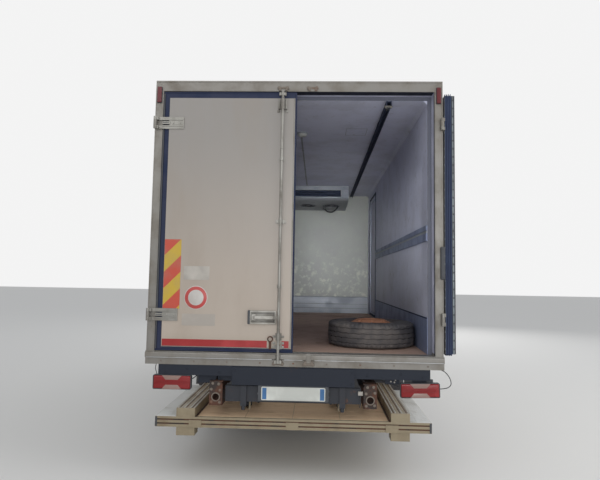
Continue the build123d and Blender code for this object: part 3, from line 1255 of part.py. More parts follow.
# Cab doors with their window openings and panes
DOOR_FRONT_EDGE = CAB_DOOR_FRONT_Y - CAB_DOOR_FRONT_GAP
LEAF_OUTLINE = (
    (CAB_DOOR_REAR_Y + CAB_DOOR_GAP, CAB_DOOR_UNDER + CAB_DOOR_FRONT_GAP),
    (DOOR_FRONT_EDGE, CAB_DOOR_UNDER + CAB_DOOR_FRONT_GAP),
    (DOOR_FRONT_EDGE, CAB_DOOR_BEND),
    (DOOR_FRONT_EDGE - CAB_DOOR_LEAN, CAB_DOOR_TOP - CAB_DOOR_FRONT_GAP),
    (CAB_DOOR_REAR_Y + CAB_DOOR_GAP, CAB_DOOR_TOP - CAB_DOOR_FRONT_GAP),
)
DOOR_HEIGHTS = (CAB_UNDER, 1500, 2380)
for side, name in ((-1, "left"), (1, "right")):
    reach = (side * 600, side * (CAB_HALF + 100))
    with BuildPart() as cab_door:
        cab_solid(DOOR_HEIGHTS, 0)
        cab_solid(DOOR_HEIGHTS, CAB_WALL, Mode.SUBTRACT)
        side_prism(LEAF_OUTLINE, reach, Mode.INTERSECT)
        side_prism(DOOR_WINDOW, reach, Mode.SUBTRACT, WINDOW_ROUNDING)
        leaf_x = sorted((side * (CAB_HINGE_X - CAB_HINGE_R), side * (CAB_HINGE_X + 3)))
        for z in CAB_HINGE_HEIGHTS:
            cab_hinge_rod(side, (z - CAB_RIB_FAR - 5, z + CAB_RIB_FAR + 5), CAB_HINGE_R + 7, Mode.SUBTRACT)
            cab_hinge_rod(side, (z - CAB_RIB_FAR, z + CAB_RIB_FAR), PIN_R)
            for span in ((z - CAB_RIB_FAR, z - CAB_RIB_NEAR), (z + CAB_RIB_NEAR, z + CAB_RIB_FAR)):
                cab_hinge_rod(side, span, CAB_HINGE_R)
                block(leaf_x, (CAB_DOOR_FRONT_Y - 40, CAB_DOOR_FRONT_Y), span)
        handle = sorted((side * (CAB_HALF - 2), side * (CAB_HALF + 25)))
        block(handle, (CAB_DOOR_REAR_Y + 60, CAB_DOOR_REAR_Y + 220), (1380, 1415))
    cab_door.part.label = "cab_door_" + name
    export_step(cab_door.part, "parts/cab_door_" + name + ".step")

    with BuildPart() as door_glass:
        cab_solid(DOOR_HEIGHTS, GLASS_SETBACK)
        cab_solid(DOOR_HEIGHTS, GLASS_SETBACK + GLASS_THICK, Mode.SUBTRACT)
        with BuildPart(mode=Mode.PRIVATE) as pane_reach:
            with BuildSketch(Plane.YZ.offset(side * 600)) as pane:
                with BuildLine():
                    Polyline(*DOOR_WINDOW, close=True)
                make_face()
                fillet(pane.vertices(), WINDOW_ROUNDING)
                offset(amount=-GLASS_PLAY)
            extrude(amount=side * 600)
        add(pane_reach.part, mode=Mode.INTERSECT)
    door_glass.part.label = "door_glass_" + name
    export_step(door_glass.part, "parts/door_glass_" + name + ".step")

# Tail lift tracks: channels open inwards, under the rear of the body, with a holed end plate
TRACK_TOP = TRACK_UNDER + TRACK_HEIGHT
END_PLATE = 8
END_CORNER = 22
END_HOLE_R = 28
END_HOLE_Z = TRACK_UNDER + 70
with BuildPart() as lift_tracks:
    for side in (-1, 1):
        track = sorted((side * (TRACK_X - TRACK_WIDTH / 2), side * (TRACK_X + TRACK_WIDTH / 2)))
        outer = side * (TRACK_X + TRACK_WIDTH / 2)
        length = (REAR_Y + END_PLATE, REAR_Y + TRACK_LENGTH)
        block(sorted((outer - side * TRACK_WALL, outer)), length, (TRACK_UNDER, TRACK_TOP))
        for z in (TRACK_UNDER, TRACK_TOP - TRACK_WALL):
            block(track, length, (z, z + TRACK_WALL))
        rear_prism(
            [
                (track[0], TRACK_UNDER + END_CORNER),
                (track[0] + END_CORNER, TRACK_UNDER),
                (track[1] - END_CORNER, TRACK_UNDER),
                (track[1], TRACK_UNDER + END_CORNER),
                (track[1], TRACK_TOP - END_CORNER),
                (track[1] - END_CORNER, TRACK_TOP),
                (track[0] + END_CORNER, TRACK_TOP),
                (track[0], TRACK_TOP - END_CORNER),
            ],
            (REAR_Y, REAR_Y + END_PLATE),
        )
        hole = (side * TRACK_X, REAR_Y + END_PLATE + 1, END_HOLE_Z)
        rod((side * TRACK_X, REAR_Y - 1, END_HOLE_Z), hole, END_HOLE_R, Mode.SUBTRACT)
        hanger = (side * TRACK_X - 5, side * TRACK_X + 5)
        for y in BEARERS[:2]:
            block(hanger, (y - 40, y + 40), (TRACK_TOP, BEARER_UNDER))
lift_tracks.part.label = "lift_tracks"
export_step(lift_tracks.part, "parts/lift_tracks.step")

# Rear beam under the sill, with the cover plate and the lamp brackets
BEAM_UNDER = SILL_UNDER - 87
BEAM_Y = (REAR_Y + 4, REAR_Y + 70)
COVER_HALF = 513
COVER_THICK = 10
with BuildPart() as rear_beam:
    block((-BEARER_HALF, BEARER_HALF), BEAM_Y, (BEAM_UNDER, SILL_UNDER))
    block((-COVER_HALF, COVER_HALF), (BEAM_Y[0] - COVER_THICK, BEAM_Y[0]), (BEAM_UNDER - 70, SILL_UNDER - 10))
    for x, z in TAIL_LAMPS:
        block((x - 60, x + 60), (TAIL_LAMP_Y[1], TAIL_LAMP_Y[1] + 8), (z - 40, BEAM_UNDER))
    for side in (-1, 1):
        stay = sorted((side * RAIL_OUTER, side * (RAIL_OUTER + 8)))
        block(stay, (BEAM_Y[1] - 10, REAR_Y + 330), (BEAM_UNDER + 27, SILL_UNDER - 5))
rear_beam.part.label = "rear_beam"
export_step(rear_beam.part, "parts/rear_beam.step")

# Sliding carriage of the tail lift: cross beam, two long members, shoes in the tracks, arm lugs
SHOE_PLAY = 0.3
CARRIAGE_HALF = 570
MEMBER_WIDTH = 60
PLATE_HALF = 265
PLATE_Z = (660, 778)
HOOK_X = 415
HOOK_Z = (605, 775)
BACK_TUBE_Y = (ARM_PIVOT_Y + 60, ARM_PIVOT_Y + 120)
BACK_TUBE_UNDER = ARM_PIVOT_Z - 30
LUG_THICK = 14
LUG_PLACES = (ARM_X - ARM_WIDTH / 2 - SIDE_PLAY - LUG_THICK, ARM_X + ARM_WIDTH / 2 + SIDE_PLAY)
with BuildPart() as lift_carriage:
    block((-CARRIAGE_HALF, CARRIAGE_HALF), (REAR_Y + 30, REAR_Y + 130), (640, 770))
    block((-PLATE_HALF, PLATE_HALF), (REAR_Y + 4, REAR_Y + 10), PLATE_Z)
    for x in (-PLATE_HALF + 65, PLATE_HALF - 65):
        block((x - 15, x + 15), (REAR_Y + 10, REAR_Y + 30), (PLATE_Z[0] + 30, PLATE_Z[0] + 70))
    for x in (-HOOK_X, HOOK_X):
        block((x - 25, x + 25), (REAR_Y + 14, REAR_Y + 30), HOOK_Z)
        rod((x, REAR_Y + 24, HOOK_Z[0] - 30), (x, REAR_Y + 24, HOOK_Z[0] + 5), 15)
    block((-CARRIAGE_HALF, CARRIAGE_HALF), BACK_TUBE_Y, (BACK_TUBE_UNDER, BACK_TUBE_UNDER + 75))
    for side in (-1, 1):
        member = sorted((side * (CARRIAGE_HALF - MEMBER_WIDTH), side * CARRIAGE_HALF))
        block(member, (REAR_Y + 130, ARM_PIVOT_Y + 220), (655, 755))
        block(member, BACK_TUBE_Y, (BACK_TUBE_UNDER, 660))
        shoe = sorted((side * CARRIAGE_HALF, side * (TRACK_X + TRACK_WIDTH / 2 - TRACK_WALL - 5)))
        shoe_z = (TRACK_UNDER + TRACK_WALL + SHOE_PLAY, TRACK_TOP - TRACK_WALL - 5)
        for y in (ARM_PIVOT_Y - 40, ARM_PIVOT_Y + 160):
            block(shoe, (y, y + 120), shoe_z)
        for x in LUG_PLACES:
            lug = sorted((side * x, side * (x + LUG_THICK)))
            side_prism(
                [
                    (BACK_TUBE_Y[0] + 10, ARM_PIVOT_Z - 28),
                    (BACK_TUBE_Y[0] + 10, ARM_PIVOT_Z + 43),
                    (ARM_PIVOT_Y - 20, ARM_PIVOT_Z + 30),
                    (ARM_PIVOT_Y - 32, ARM_PIVOT_Z),
                    (ARM_PIVOT_Y - 20, ARM_PIVOT_Z - 28),
                ],
                lug,
            )
            disc(lug, ARM_PIVOT_Y, ARM_PIVOT_Z, PIVOT_R + PIVOT_PLAY, Mode.SUBTRACT)
lift_carriage.part.label = "lift_carriage"
export_step(lift_carriage.part, "parts/lift_carriage.step")

# Lift arms: two flat arms joined by a torsion tube, with a ram beside each arm
ARM_HALF_HEIGHT = 24
PIN_REACH = 38
with BuildPart() as lift_arms:
    for side in (-1, 1):
        arm = sorted((side * (ARM_X - ARM_WIDTH / 2), side * (ARM_X + ARM_WIDTH / 2)))
        pin = sorted((side * (ARM_X - PIN_REACH), side * (ARM_X + PIN_REACH)))
        for y, z in ((ARM_PIVOT_Y, ARM_PIVOT_Z), (PLATFORM_PIVOT_Y, PLATFORM_PIVOT_Z)):
            disc(arm, y, z, BOSS_R)
            disc(pin, y, z, PIVOT_R)
        side_prism(
            [
                (PLATFORM_PIVOT_Y, PLATFORM_PIVOT_Z - ARM_HALF_HEIGHT),
                (ARM_PIVOT_Y, ARM_PIVOT_Z - ARM_HALF_HEIGHT),
                (ARM_PIVOT_Y, ARM_PIVOT_Z + ARM_HALF_HEIGHT),
                (PLATFORM_PIVOT_Y, PLATFORM_PIVOT_Z + ARM_HALF_HEIGHT),
            ],
            arm,
        )
    tube_y = (ARM_PIVOT_Y + PLATFORM_PIVOT_Y) / 2
    tube_z = (ARM_PIVOT_Z + PLATFORM_PIVOT_Z) / 2
    disc((-ARM_X, ARM_X), tube_y, tube_z, TUBE_R)
lift_arms.part.label = "lift_arms"
export_step(lift_arms.part, "parts/lift_arms.step")

RAM_X = 330
RAM_GAP = 0.3
with BuildPart() as lift_rams:
    for x in (-RAM_X, RAM_X):
        behind = (x, tube_y - TUBE_R - RAM_GAP, tube_z + 1)
        ahead = (x, tube_y + TUBE_R + RAM_GAP, tube_z + 1)
        rod((x, PLATFORM_PIVOT_Y + 60, PLATFORM_PIVOT_Z + 6), behind, 16)
        rod(ahead, (x, ARM_PIVOT_Y - 30, ARM_PIVOT_Z), 24)
lift_rams.part.label = "lift_rams"
export_step(lift_rams.part, "parts/lift_rams.step")

# Platform: ribbed slab with joint blocks, two runner channels, feet and the arm lugs
BLOCK_PLACES = (-812, 0, 826)
with BuildPart() as platform:
    platform_under = PLATFORM_TOP - PLATFORM_THICK
    deck_y = (REAR_Y + 2, REAR_Y + PLATFORM_LENGTH)
    block((-PLATFORM_HALF, PLATFORM_HALF), deck_y, (platform_under, PLATFORM_TOP))
    for z in (platform_under + 22, platform_under + 55):
        block((-PLATFORM_HALF, PLATFORM_HALF), (REAR_Y, REAR_Y + 8), (z, z + 12), Mode.SUBTRACT)
    for x in BLOCK_PLACES:
        block((x - 52, x + 52), (REAR_Y - 4, REAR_Y + 10), (platform_under, platform_under + 60))
    for side in (-1, 1):
        channel = sorted((side * (CHANNEL_X - CHANNEL_WIDTH / 2), side * (CHANNEL_X + CHANNEL_WIDTH / 2)))
        block(channel, deck_y, (PLATFORM_TOP, PLATFORM_TOP + CHANNEL_HEIGHT))
        block(channel, (REAR_Y + 10, REAR_Y + 130), (platform_under - FOOT_HEIGHT, platform_under))
        for x in LUG_PLACES:
            lug = sorted((side * x, side * (x + LUG_THICK)))
            side_prism(
                [
                    (PLATFORM_PIVOT_Y - 45, PLATFORM_TOP),
                    (PLATFORM_PIVOT_Y + 45, PLATFORM_TOP),
                    (PLATFORM_PIVOT_Y + 26, PLATFORM_PIVOT_Z + 24),
                    (PLATFORM_PIVOT_Y - 26, PLATFORM_PIVOT_Z + 24),
                ],
                lug,
            )
            disc(lug, PLATFORM_PIVOT_Y, PLATFORM_PIVOT_Z, PIVOT_R + PIVOT_PLAY, Mode.SUBTRACT)
platform.part.label = "platform"
export_step(platform.part, "parts/platform.step")
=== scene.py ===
import json
import math

import bpy
import numpy as np
from mathutils import Matrix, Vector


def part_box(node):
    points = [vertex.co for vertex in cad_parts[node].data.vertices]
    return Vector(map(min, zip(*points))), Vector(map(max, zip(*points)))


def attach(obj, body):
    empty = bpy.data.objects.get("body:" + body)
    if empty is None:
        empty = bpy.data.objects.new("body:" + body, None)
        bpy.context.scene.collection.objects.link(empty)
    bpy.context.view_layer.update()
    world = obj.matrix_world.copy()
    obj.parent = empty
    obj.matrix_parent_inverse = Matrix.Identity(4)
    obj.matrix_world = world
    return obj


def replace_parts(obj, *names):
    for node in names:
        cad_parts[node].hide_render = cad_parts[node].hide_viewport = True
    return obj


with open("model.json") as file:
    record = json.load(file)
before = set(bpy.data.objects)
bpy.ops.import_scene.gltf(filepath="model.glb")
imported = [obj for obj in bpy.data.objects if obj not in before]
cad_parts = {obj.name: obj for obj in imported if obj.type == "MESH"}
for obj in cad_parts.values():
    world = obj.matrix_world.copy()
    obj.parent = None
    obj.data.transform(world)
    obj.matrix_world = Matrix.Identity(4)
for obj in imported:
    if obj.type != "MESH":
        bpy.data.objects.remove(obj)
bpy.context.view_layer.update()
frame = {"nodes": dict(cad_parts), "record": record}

# Driving places of the truck in metres, most of them read from the frame
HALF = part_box("roof")[1].x - 0.004
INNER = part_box("floor")[1].x
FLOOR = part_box("floor")[1].z
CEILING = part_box("front_wall")[1].z
ROOF_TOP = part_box("roof")[1].z
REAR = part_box("rear_beam")[0].y + 0.006
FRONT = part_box("front_wall")[1].y
FRONT_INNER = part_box("front_wall")[0].y
DOOR_FACE = REAR - 0.005
HINGE_X = HALF - 0.010
HINGE_Y = REAR - 0.028
OPEN_TURN = math.radians(267)
LEAF_X = (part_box("rear_door_left")[0].x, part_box("rear_door_left")[1].x)
LEAF_Z = (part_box("rear_door_left")[0].z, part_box("rear_door_left")[1].z)
SEAL_X = (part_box("door_seal_left")[0].x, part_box("door_seal_left")[1].x)
SEAL_Z = (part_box("door_seal_left")[0].z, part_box("door_seal_left")[1].z)
BAR_X = 0.128
DECK = 0.510
CAB_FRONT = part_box("bumper")[1].y - 0.025
CAB_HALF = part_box("bumper")[1].x
CAB_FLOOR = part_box("seats")[0].z
CAB_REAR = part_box("seats")[0].y - 0.225
HEADER_UNDER = CEILING + 0.033
TYRE_R = 0.415
TYRE_WIDE = 0.235
RIM_R = 0.247
AXLES = (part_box("tyre_front_left")[0].y + TYRE_R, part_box("tyres_rear_left")[0].y + TYRE_R)
HINGE_HEIGHTS = (FLOOR + 0.307, FLOOR + 1.966)
SIDE_DOORWAY = (REAR + 4.150, REAR + 5.050)
SIGN_PLACE = (-0.838, 1.503)
FAN_X = (-0.430, 0.0, 0.430)
FAN_Y = FRONT_INNER - 0.477
DECK_THICK = 0.085
CHANNEL_HEIGHT = 0.070

# Camera: where the photographer stood, in metres and degrees, and the sky's strength
CAMERA_PLACE = (0.197, REAR - 4.333, FLOOR + 0.625)
CAMERA_YAW = -2.08
CAMERA_PITCH = 4.38
CAMERA_ROLL = 0.98
CAMERA_LENS = 30.6
SKY_LEVEL = 0.60


class Shape:
    """Points and faces of a skin. The faces are a list of arrays, one for each number of corners."""

    def __init__(self, points, faces):
        self.points = np.asarray(points, float).reshape(-1, 3)
        self.faces = [np.asarray(group, int) for group in faces]

    def __add__(self, other):
        shift = len(self.points)
        return Shape(np.vstack([self.points, other.points]), self.faces + [g + shift for g in other.faces])

    def moved(self, x=0.0, y=0.0, z=0.0):
        return Shape(self.points + (x, y, z), self.faces)

    def mirrored(self):
        """The shape on the truck's other side, with its faces turned outwards again."""
        return Shape(self.points * (-1, 1, 1), [group[:, ::-1] for group in self.faces])

    def both(self):
        return self + self.mirrored()

    def copies(self, places):
        """One copy for each place: every point is added to every place."""
        places = np.asarray(places, float).reshape(-1, 1, 3)
        shifts = np.arange(len(places))[:, None, None] * len(self.points)
        faces = [(group[None] + shifts).reshape(-1, group.shape[1]) for group in self.faces]
        return Shape(self.points[None] + places, faces)

    def swung(self, x, y, angle):
        """The shape turned about an upright line through x and y."""
        c, s = math.cos(angle), math.sin(angle)
        turn = np.array([[c, s, 0], [-s, c, 0], [0, 0, 1]])
        return Shape((self.points - (x, y, 0)) @ turn + (x, y, 0), self.faces)

    def opened(self):
        """A shape made on the closed right door, swung out with it to where it rests."""
        return self.swung(HINGE_X, HINGE_Y, OPEN_TURN)


# Each side of the truck, with its directions across and up as one looks at it
VIEWS = {
    "rear": ((1, 0, 0), (0, 0, 1)),
    "front": ((-1, 0, 0), (0, 0, 1)),
    "left": ((0, -1, 0), (0, 0, 1)),
    "right": ((0, 1, 0), (0, 0, 1)),
    "top": ((1, 0, 0), (0, 1, 0)),
    "under": ((1, 0, 0), (0, -1, 0)),
}


def quads(rows, columns, around=True, along=False):
    """Faces between neighbouring points of a grid. Around closes each row, along closes each column."""
    index = np.arange(rows * columns).reshape(rows, columns)
    if around:
        index = np.hstack([index, index[:, :1]])
    if along:
        index = np.vstack([index, index[:1]])
    return np.stack([index[:-1, :-1], index[:-1, 1:], index[1:, 1:], index[1:, :-1]], axis=-1).reshape(-1, 4)


def capped(rings):
    """A closed skin over rings of points, shaped (rings, points, 3), with a flat cap at each end."""
    rows, columns = rings.shape[:2]
    first = np.arange(columns)[::-1][None]
    last = np.arange(columns)[None] + (rows - 1) * columns
    return Shape(rings, [quads(rows, columns), first, last])


def on_side(flat, view, place=(0, 0, 0)):
    """Points given as across, up and out, put on one side of the truck about a place."""
    across, up = (np.array(direction, float) for direction in VIEWS[view])
    return np.asarray(place, float) + flat @ np.stack([across, up, np.cross(across, up)])


def drawn_in(outline, inset):
    """A closed outline drawn in by a distance: each corner moves along its mitre."""
    ahead = np.roll(outline, -1, axis=0) - outline
    ahead /= np.linalg.norm(ahead, axis=1, keepdims=True)
    behind = np.roll(ahead, 1, axis=0)
    inward = (ahead + behind)[:, ::-1] * (-1, 1)
    return outline + inset * inward / (1 + (ahead * behind).sum(axis=1, keepdims=True))


def layered(outline, levels, view, place=(0, 0, 0)):
    """Rings of one outline, one for each level: drawn in by the level's inset, raised by its height."""
    outline = np.asarray(outline, float)
    rings = [np.column_stack([drawn_in(outline, inset), np.full(len(outline), height)]) for inset, height in levels]
    return capped(on_side(np.array(rings), view, place))


def round_box(u, v, rounding=0.004, steps=3):
    """A rectangle anticlockwise, each corner a quarter circle of that radius, or of a little less than half a side."""
    u0, u1 = sorted(u)
    v0, v1 = sorted(v)
    rounding = min(rounding, 0.48 * (u1 - u0), 0.48 * (v1 - v0))
    centres = np.array([(u1 - rounding, v0 + rounding), (u1 - rounding, v1 - rounding),
                        (u0 + rounding, v1 - rounding), (u0 + rounding, v0 + rounding)])
    angles = np.radians(np.linspace(-90, 0, steps + 1)[None] + 90 * np.arange(4)[:, None])
    rims = rounding * np.stack([np.cos(angles), np.sin(angles)], axis=-1)
    return (centres[:, None] + rims).reshape(-1, 2)


def ring(radius, steps=24, u=0.0, v=0.0):
    """A circle as evenly spaced points, anticlockwise."""
    angles = np.linspace(0, 2 * math.pi, steps, endpoint=False)
    return np.stack([u + radius * np.cos(angles), v + radius * np.sin(angles)], axis=1)


def plate(view, across, up, face, proud, rounding=0.004, edge=0.0015, levels=None):
    """A rounded plate on one side of the truck. Across and up are ranges and face the height of its
    back, all three as coordinates of the truck, and proud is how far it stands out."""
    sideways, upright = (np.array(direction, float) for direction in VIEWS[view])
    out = np.cross(sideways, upright)
    outline = round_box(np.multiply(across, sideways.sum()), np.multiply(up, upright.sum()), rounding)
    levels = levels or ((0, 0), (0, proud - edge), (edge, proud))
    return layered(outline, levels, view, np.abs(out) * face)


def bolts(view, places, radius=0.008, height=0.006):
    """Hexagon heads on washers, one at each place."""
    washer = layered(ring(radius * 1.35, 12), ((0, 0), (0, height * 0.2)), view)
    head = layered(ring(radius, 6), ((0, height * 0.2), (0, height * 0.85), (radius * 0.15, height)), view)
    return (washer + head).copies(places)


def rivets(view, places, radius=0.004):
    """Round rivet heads, each a low dome of three rings."""
    levels = ((0, 0), (radius * 0.25, radius * 0.35), (radius * 0.65, radius * 0.55))
    return layered(ring(radius, 8), levels, view).copies(places)


def row(start, end, count):
    """Evenly spaced places from one point to another."""
    return np.linspace(start, end, count)


def carried(section, path, up=(0, 0, 1), loop=False):
    """A closed section, given sideways and up, carried along a path and mitred where it turns."""
    path = np.asarray(path, float)
    stretch = np.roll(path, -1, axis=0) - path
    if not loop:
        stretch[-1] = stretch[-2]
    stretch /= np.linalg.norm(stretch, axis=1, keepdims=True)
    before = np.roll(stretch, 1, axis=0)
    if not loop:
        before[0] = stretch[0]
    ahead = stretch + before
    ahead /= np.linalg.norm(ahead, axis=1, keepdims=True)
    side = np.cross(up, ahead)
    side /= np.linalg.norm(side, axis=1, keepdims=True)
    lift = np.cross(ahead, side)
    side /= np.maximum((ahead * stretch).sum(axis=1, keepdims=True), 0.3)
    section = np.asarray(section, float)
    rings = path[:, None] + section[None, :, :1] * side[:, None] + section[None, :, 1:] * lift[:, None]
    if loop:
        return Shape(rings, [quads(len(path), len(section), along=True)])
    return capped(rings)


def flowing(points, per=8):
    """A smooth curve through points: each stretch is a cubic whose slopes follow the neighbours' chords."""
    p = np.asarray(points, float)
    p = np.vstack([2 * p[0] - p[1], p, 2 * p[-1] - p[-2]])
    t = np.linspace(0, 1, per, endpoint=False)[None, :, None]
    a, b, c, d = (p[k:len(p) - 3 + k, None] for k in range(4))
    curve = 0.5 * (2 * b + (c - a) * t + (2 * a - 5 * b + 4 * c - d) * t**2 + (3 * b - a - 3 * c + d) * t**3)
    return np.vstack([curve.reshape(-1, 3), p[-2]])


def lead(points, radius, up=(0, 1, 0.02)):
    """A thin cable or rod through points."""
    return carried(ring(radius, 8), flowing(points), up)


def frame_path(view, across, up, face):
    """The four corners of a rectangle on one side of the truck, anticlockwise as seen."""
    sideways, upright = (np.array(direction, float) for direction in VIEWS[view])
    u0, u1 = sorted(np.multiply(across, sideways.sum()))
    v0, v1 = sorted(np.multiply(up, upright.sum()))
    flat = np.array([(u0, v0, 0), (u1, v0, 0), (u1, v1, 0), (u0, v1, 0)], float)
    return on_side(flat, view, np.abs(np.cross(sideways, upright)) * face)


def border(view, across, up, face, section):
    """A section carried round a rectangle. It is given as distances inwards and out from the face."""
    out = np.cross(*VIEWS[view])
    return carried(section, frame_path(view, across, up, face), out, loop=True)


def bead(wide, slant, height, sunk=0.001):
    """A raised strip's section for a border: flat on top between slanting flanks, its foot sunk in."""
    return [(0, -sunk), (wide, -sunk), (wide - slant, height), (slant, height)]


def spun(profile, place, axis, steps, wave=None):
    """A closed profile, given along an axis and out from it, carried round the axis. Wave changes
    the profile with the angle: it takes the angles, offsets and radii and returns new offsets and radii."""
    profile = np.asarray(profile, float)
    angles = np.linspace(0, 2 * math.pi, steps, endpoint=False)[:, None]
    along = np.broadcast_to(profile[:, 0], (steps, len(profile)))
    radius = np.broadcast_to(profile[:, 1], (steps, len(profile)))
    if wave:
        along, radius = wave(angles, along, radius)
    flat = np.stack([along, radius * np.cos(angles), radius * np.sin(angles)], axis=-1)
    order = {"x": (0, 1, 2), "y": (2, 0, 1), "z": (1, 2, 0)}[axis]
    return Shape(flat[..., order] + place, [quads(steps, len(profile), along=True)[:, ::-1]])


def linear(*shade):
    """An sRGB colour of three numbers up to 255, as linear values with alpha one."""
    part = np.array(shade[:3], float) / 255
    level = np.where(part <= 0.04045, part / 12.92, ((part + 0.055) / 1.055) ** 2.4)
    return (*[float(v) for v in level], 1.0)


class Signal:
    """A number or colour inside a material. Arithmetic on it adds Math nodes."""

    def __init__(self, paint, socket):
        self.paint = paint
        self.socket = socket

    def __add__(self, other):
        return self.paint.sum("ADD", self, other)

    def __radd__(self, other):
        return self.paint.sum("ADD", other, self)

    def __sub__(self, other):
        return self.paint.sum("SUBTRACT", self, other)

    def __rsub__(self, other):
        return self.paint.sum("SUBTRACT", other, self)

    def __mul__(self, other):
        return self.paint.sum("MULTIPLY", self, other)

    def __truediv__(self, other):
        return self.paint.sum("DIVIDE", self, other)

    def __gt__(self, other):
        return self.paint.sum("GREATER_THAN", self, other)

    def __lt__(self, other):
        return self.paint.sum("LESS_THAN", self, other)


class Paint:
    """One material's nodes: place is the point on the object, in metres."""

    def __init__(self, name):
        self.material = bpy.data.materials.new(name)
        self.material.use_nodes = True
        self.tree = self.material.node_tree
        self.tree.nodes.clear()
        self.place = self.node("ShaderNodeTexCoord", out="Object")

    def node(self, kind, settings=None, out=0, **sockets):
        """Adds a node: its settings first, then its sockets; sN names input N by number."""
        made = self.tree.nodes.new(kind)
        for key, value in (settings or {}).items():
            setattr(made, key, value)
        for key, value in sockets.items():
            numbered = key[0] == "s" and key[1:].isdigit()
            socket = made.inputs[int(key[1:])] if numbered else made.inputs[key.replace("_", " ")]
            if isinstance(value, Signal):
                self.tree.links.new(value.socket, socket)
            else:
                socket.default_value = value
        return Signal(self, made.outputs[out])

    def sum(self, operation, a, b, clamp=False):
        return self.node("ShaderNodeMath", {"operation": operation, "use_clamp": clamp}, s0=a, s1=b)

    def clip(self, value):
        """The value held between nought and one."""
        return self.sum("ADD", value, 0.0, clamp=True)

    def ramp(self, value, low, high):
        """Nought below low and one above high, with a smooth rise between."""
        settings = {"interpolation_type": "SMOOTHSTEP"}
        return self.node("ShaderNodeMapRange", settings, s0=value, s1=low, s2=high, s3=0.0, s4=1.0)

    def mix(self, share, a, b):
        """Colour a, going over to colour b as share goes to one."""
        return self.node("ShaderNodeMix", {"data_type": "RGBA"}, out=2, s0=share, s6=a, s7=b)

    def axes(self):
        """The x, y and z of the place, as three numbers."""
        split = self.node("ShaderNodeSeparateXYZ", s0=self.place).socket.node
        return [Signal(self, split.outputs[k]) for k in range(3)]

    def noise(self, scale, detail=3.0, rough=0.55, stretch=None):
        """Smooth random values about one half. Stretch scales the place along each axis first."""
        where = self.node("ShaderNodeMapping", s0=self.place, s3=stretch) if stretch else self.place
        return self.node("ShaderNodeTexNoise", out=0, Vector=where, Scale=scale, Detail=detail, Roughness=rough)

    def cells(self, scale):
        """The distance to the nearest of many scattered points."""
        return self.node("ShaderNodeTexVoronoi", {"feature": "F1"}, out=0, Vector=self.place, Scale=scale)

    def bump(self, height, depth, strength=1.0):
        return self.node("ShaderNodeBump", out=0, Strength=strength, Distance=depth, Height=height)

    def surface(self, **sockets):
        """Ends the material in a Principled shader with these sockets."""
        shader = self.node("ShaderNodeBsdfPrincipled", **sockets)
        end = self.tree.nodes.new("ShaderNodeOutputMaterial")
        self.tree.links.new(shader.socket, end.inputs[0])
        return self.material


# How much noise is squeezed along each axis, so that it runs down a surface
RUN_DOWN = (1.0, 1.0, 0.06)


def painted(name, colour, soil, roughness=0.4, metallic=0.0, streaks=1.0, grime_low=None, speck=0.5, coat=0.0):
    """Paint or bare metal with soft colour drift, vertical run marks, specks and dust towards its foot."""
    p = Paint(name)
    drift = p.noise(1.3, 4.0)
    runs = p.noise(9.0, 3.0, stretch=RUN_DOWN)
    fine = p.noise(140.0, 2.0)
    soiled = p.ramp(drift, 0.35, 0.75) * 0.45 + p.ramp(runs, 0.52, 0.8) * (0.5 * streaks)
    spots = p.ramp(p.noise(38.0, 5.0, 0.7), 0.62, 0.75) * speck
    amount = soiled + spots * 0.6
    if grime_low:
        height = p.axes()[2]
        foot = 1 - p.ramp(height + drift * 0.25, grime_low[0], grime_low[1])
        amount = amount + foot * 0.75
    amount = p.clip(amount)
    tint = p.mix(amount, colour, soil)
    shade = p.mix(p.ramp(fine, 0.3, 0.8) * 0.12, tint, soil)
    rough = roughness + amount * 0.25
    dents = p.noise(2.2, 2.0) * 0.6 + fine * 0.05
    return p.surface(Base_Color=shade, Roughness=rough, Metallic=metallic, Coat_Weight=coat,
                     Normal=p.bump(dents, 0.004, 0.5))


def rusted(name, colour, rust, cover=0.5, roughness=0.65, metallic=0.3):
    """Painted steel whose paint has given way to rust in patches, rougher and raised where it rusts."""
    p = Paint(name)
    patches = p.noise(7.0, 6.0, 0.65)
    grains = p.noise(120.0, 3.0, 0.7)
    eaten = p.ramp(patches + grains * 0.18, 0.78 - cover * 0.4, 0.92 - cover * 0.4)
    light_rust = tuple(min(1.0, c * 2.1) for c in rust[:3]) + (1.0,)
    rusty = p.mix(grains, rust, light_rust)
    shade = p.mix(eaten, colour, rusty)
    return p.surface(Base_Color=shade, Roughness=roughness + eaten * 0.2, Metallic=metallic - eaten * metallic,
                     Normal=p.bump(eaten * 0.6 + grains * 0.4, 0.0015, 0.7))


def rubber(name, colour, dust, shine=0.5):
    """Black or coloured rubber, greyed by dust that gathers in soft patches."""
    p = Paint(name)
    patches = p.ramp(p.noise(6.0, 5.0, 0.6), 0.42, 0.75)
    grain = p.noise(260.0, 2.0)
    shade = p.mix(patches * 0.55, colour, dust)
    return p.surface(Base_Color=shade, Roughness=shine + patches * 0.3, Normal=p.bump(grain, 0.0006, 0.4))


def brushed(name, colour, soil, along=(1.0, 1.0, 0.05), roughness=0.35, metallic=0.9, reveal_painted_light=None):
    """Bare metal with fine marks one way and dull soiled patches. The reveal colour is painted light: a pale blue grey
    on the frame's faces towards the doorway, which lie in shade.
    """
    p = Paint(name)
    lines = p.noise(220.0, 2.0, stretch=along)
    patches = p.ramp(p.noise(5.0, 5.0, 0.6), 0.4, 0.72)
    shade = p.mix(patches * 0.7, p.mix(lines * 0.3, colour, soil), soil)
    if reveal_painted_light:
        # Painted light: the faces towards the doorway, which lie in shade, take the pale reveal colour.
        x, y, z = p.axes()
        within = (p.sum("ABSOLUTE", x, 0.0) < HALF - 0.0695) * (z < HEADER_UNDER + 0.001) * (z > FLOOR + 0.02)
        shade = p.mix(within * (y > REAR + 0.008), shade, reveal_painted_light)
    return p.surface(Base_Color=shade, Roughness=roughness + patches * 0.25 + lines * 0.1,
                     Metallic=metallic - patches * 0.35, Normal=p.bump(lines, 0.0004, 0.35))


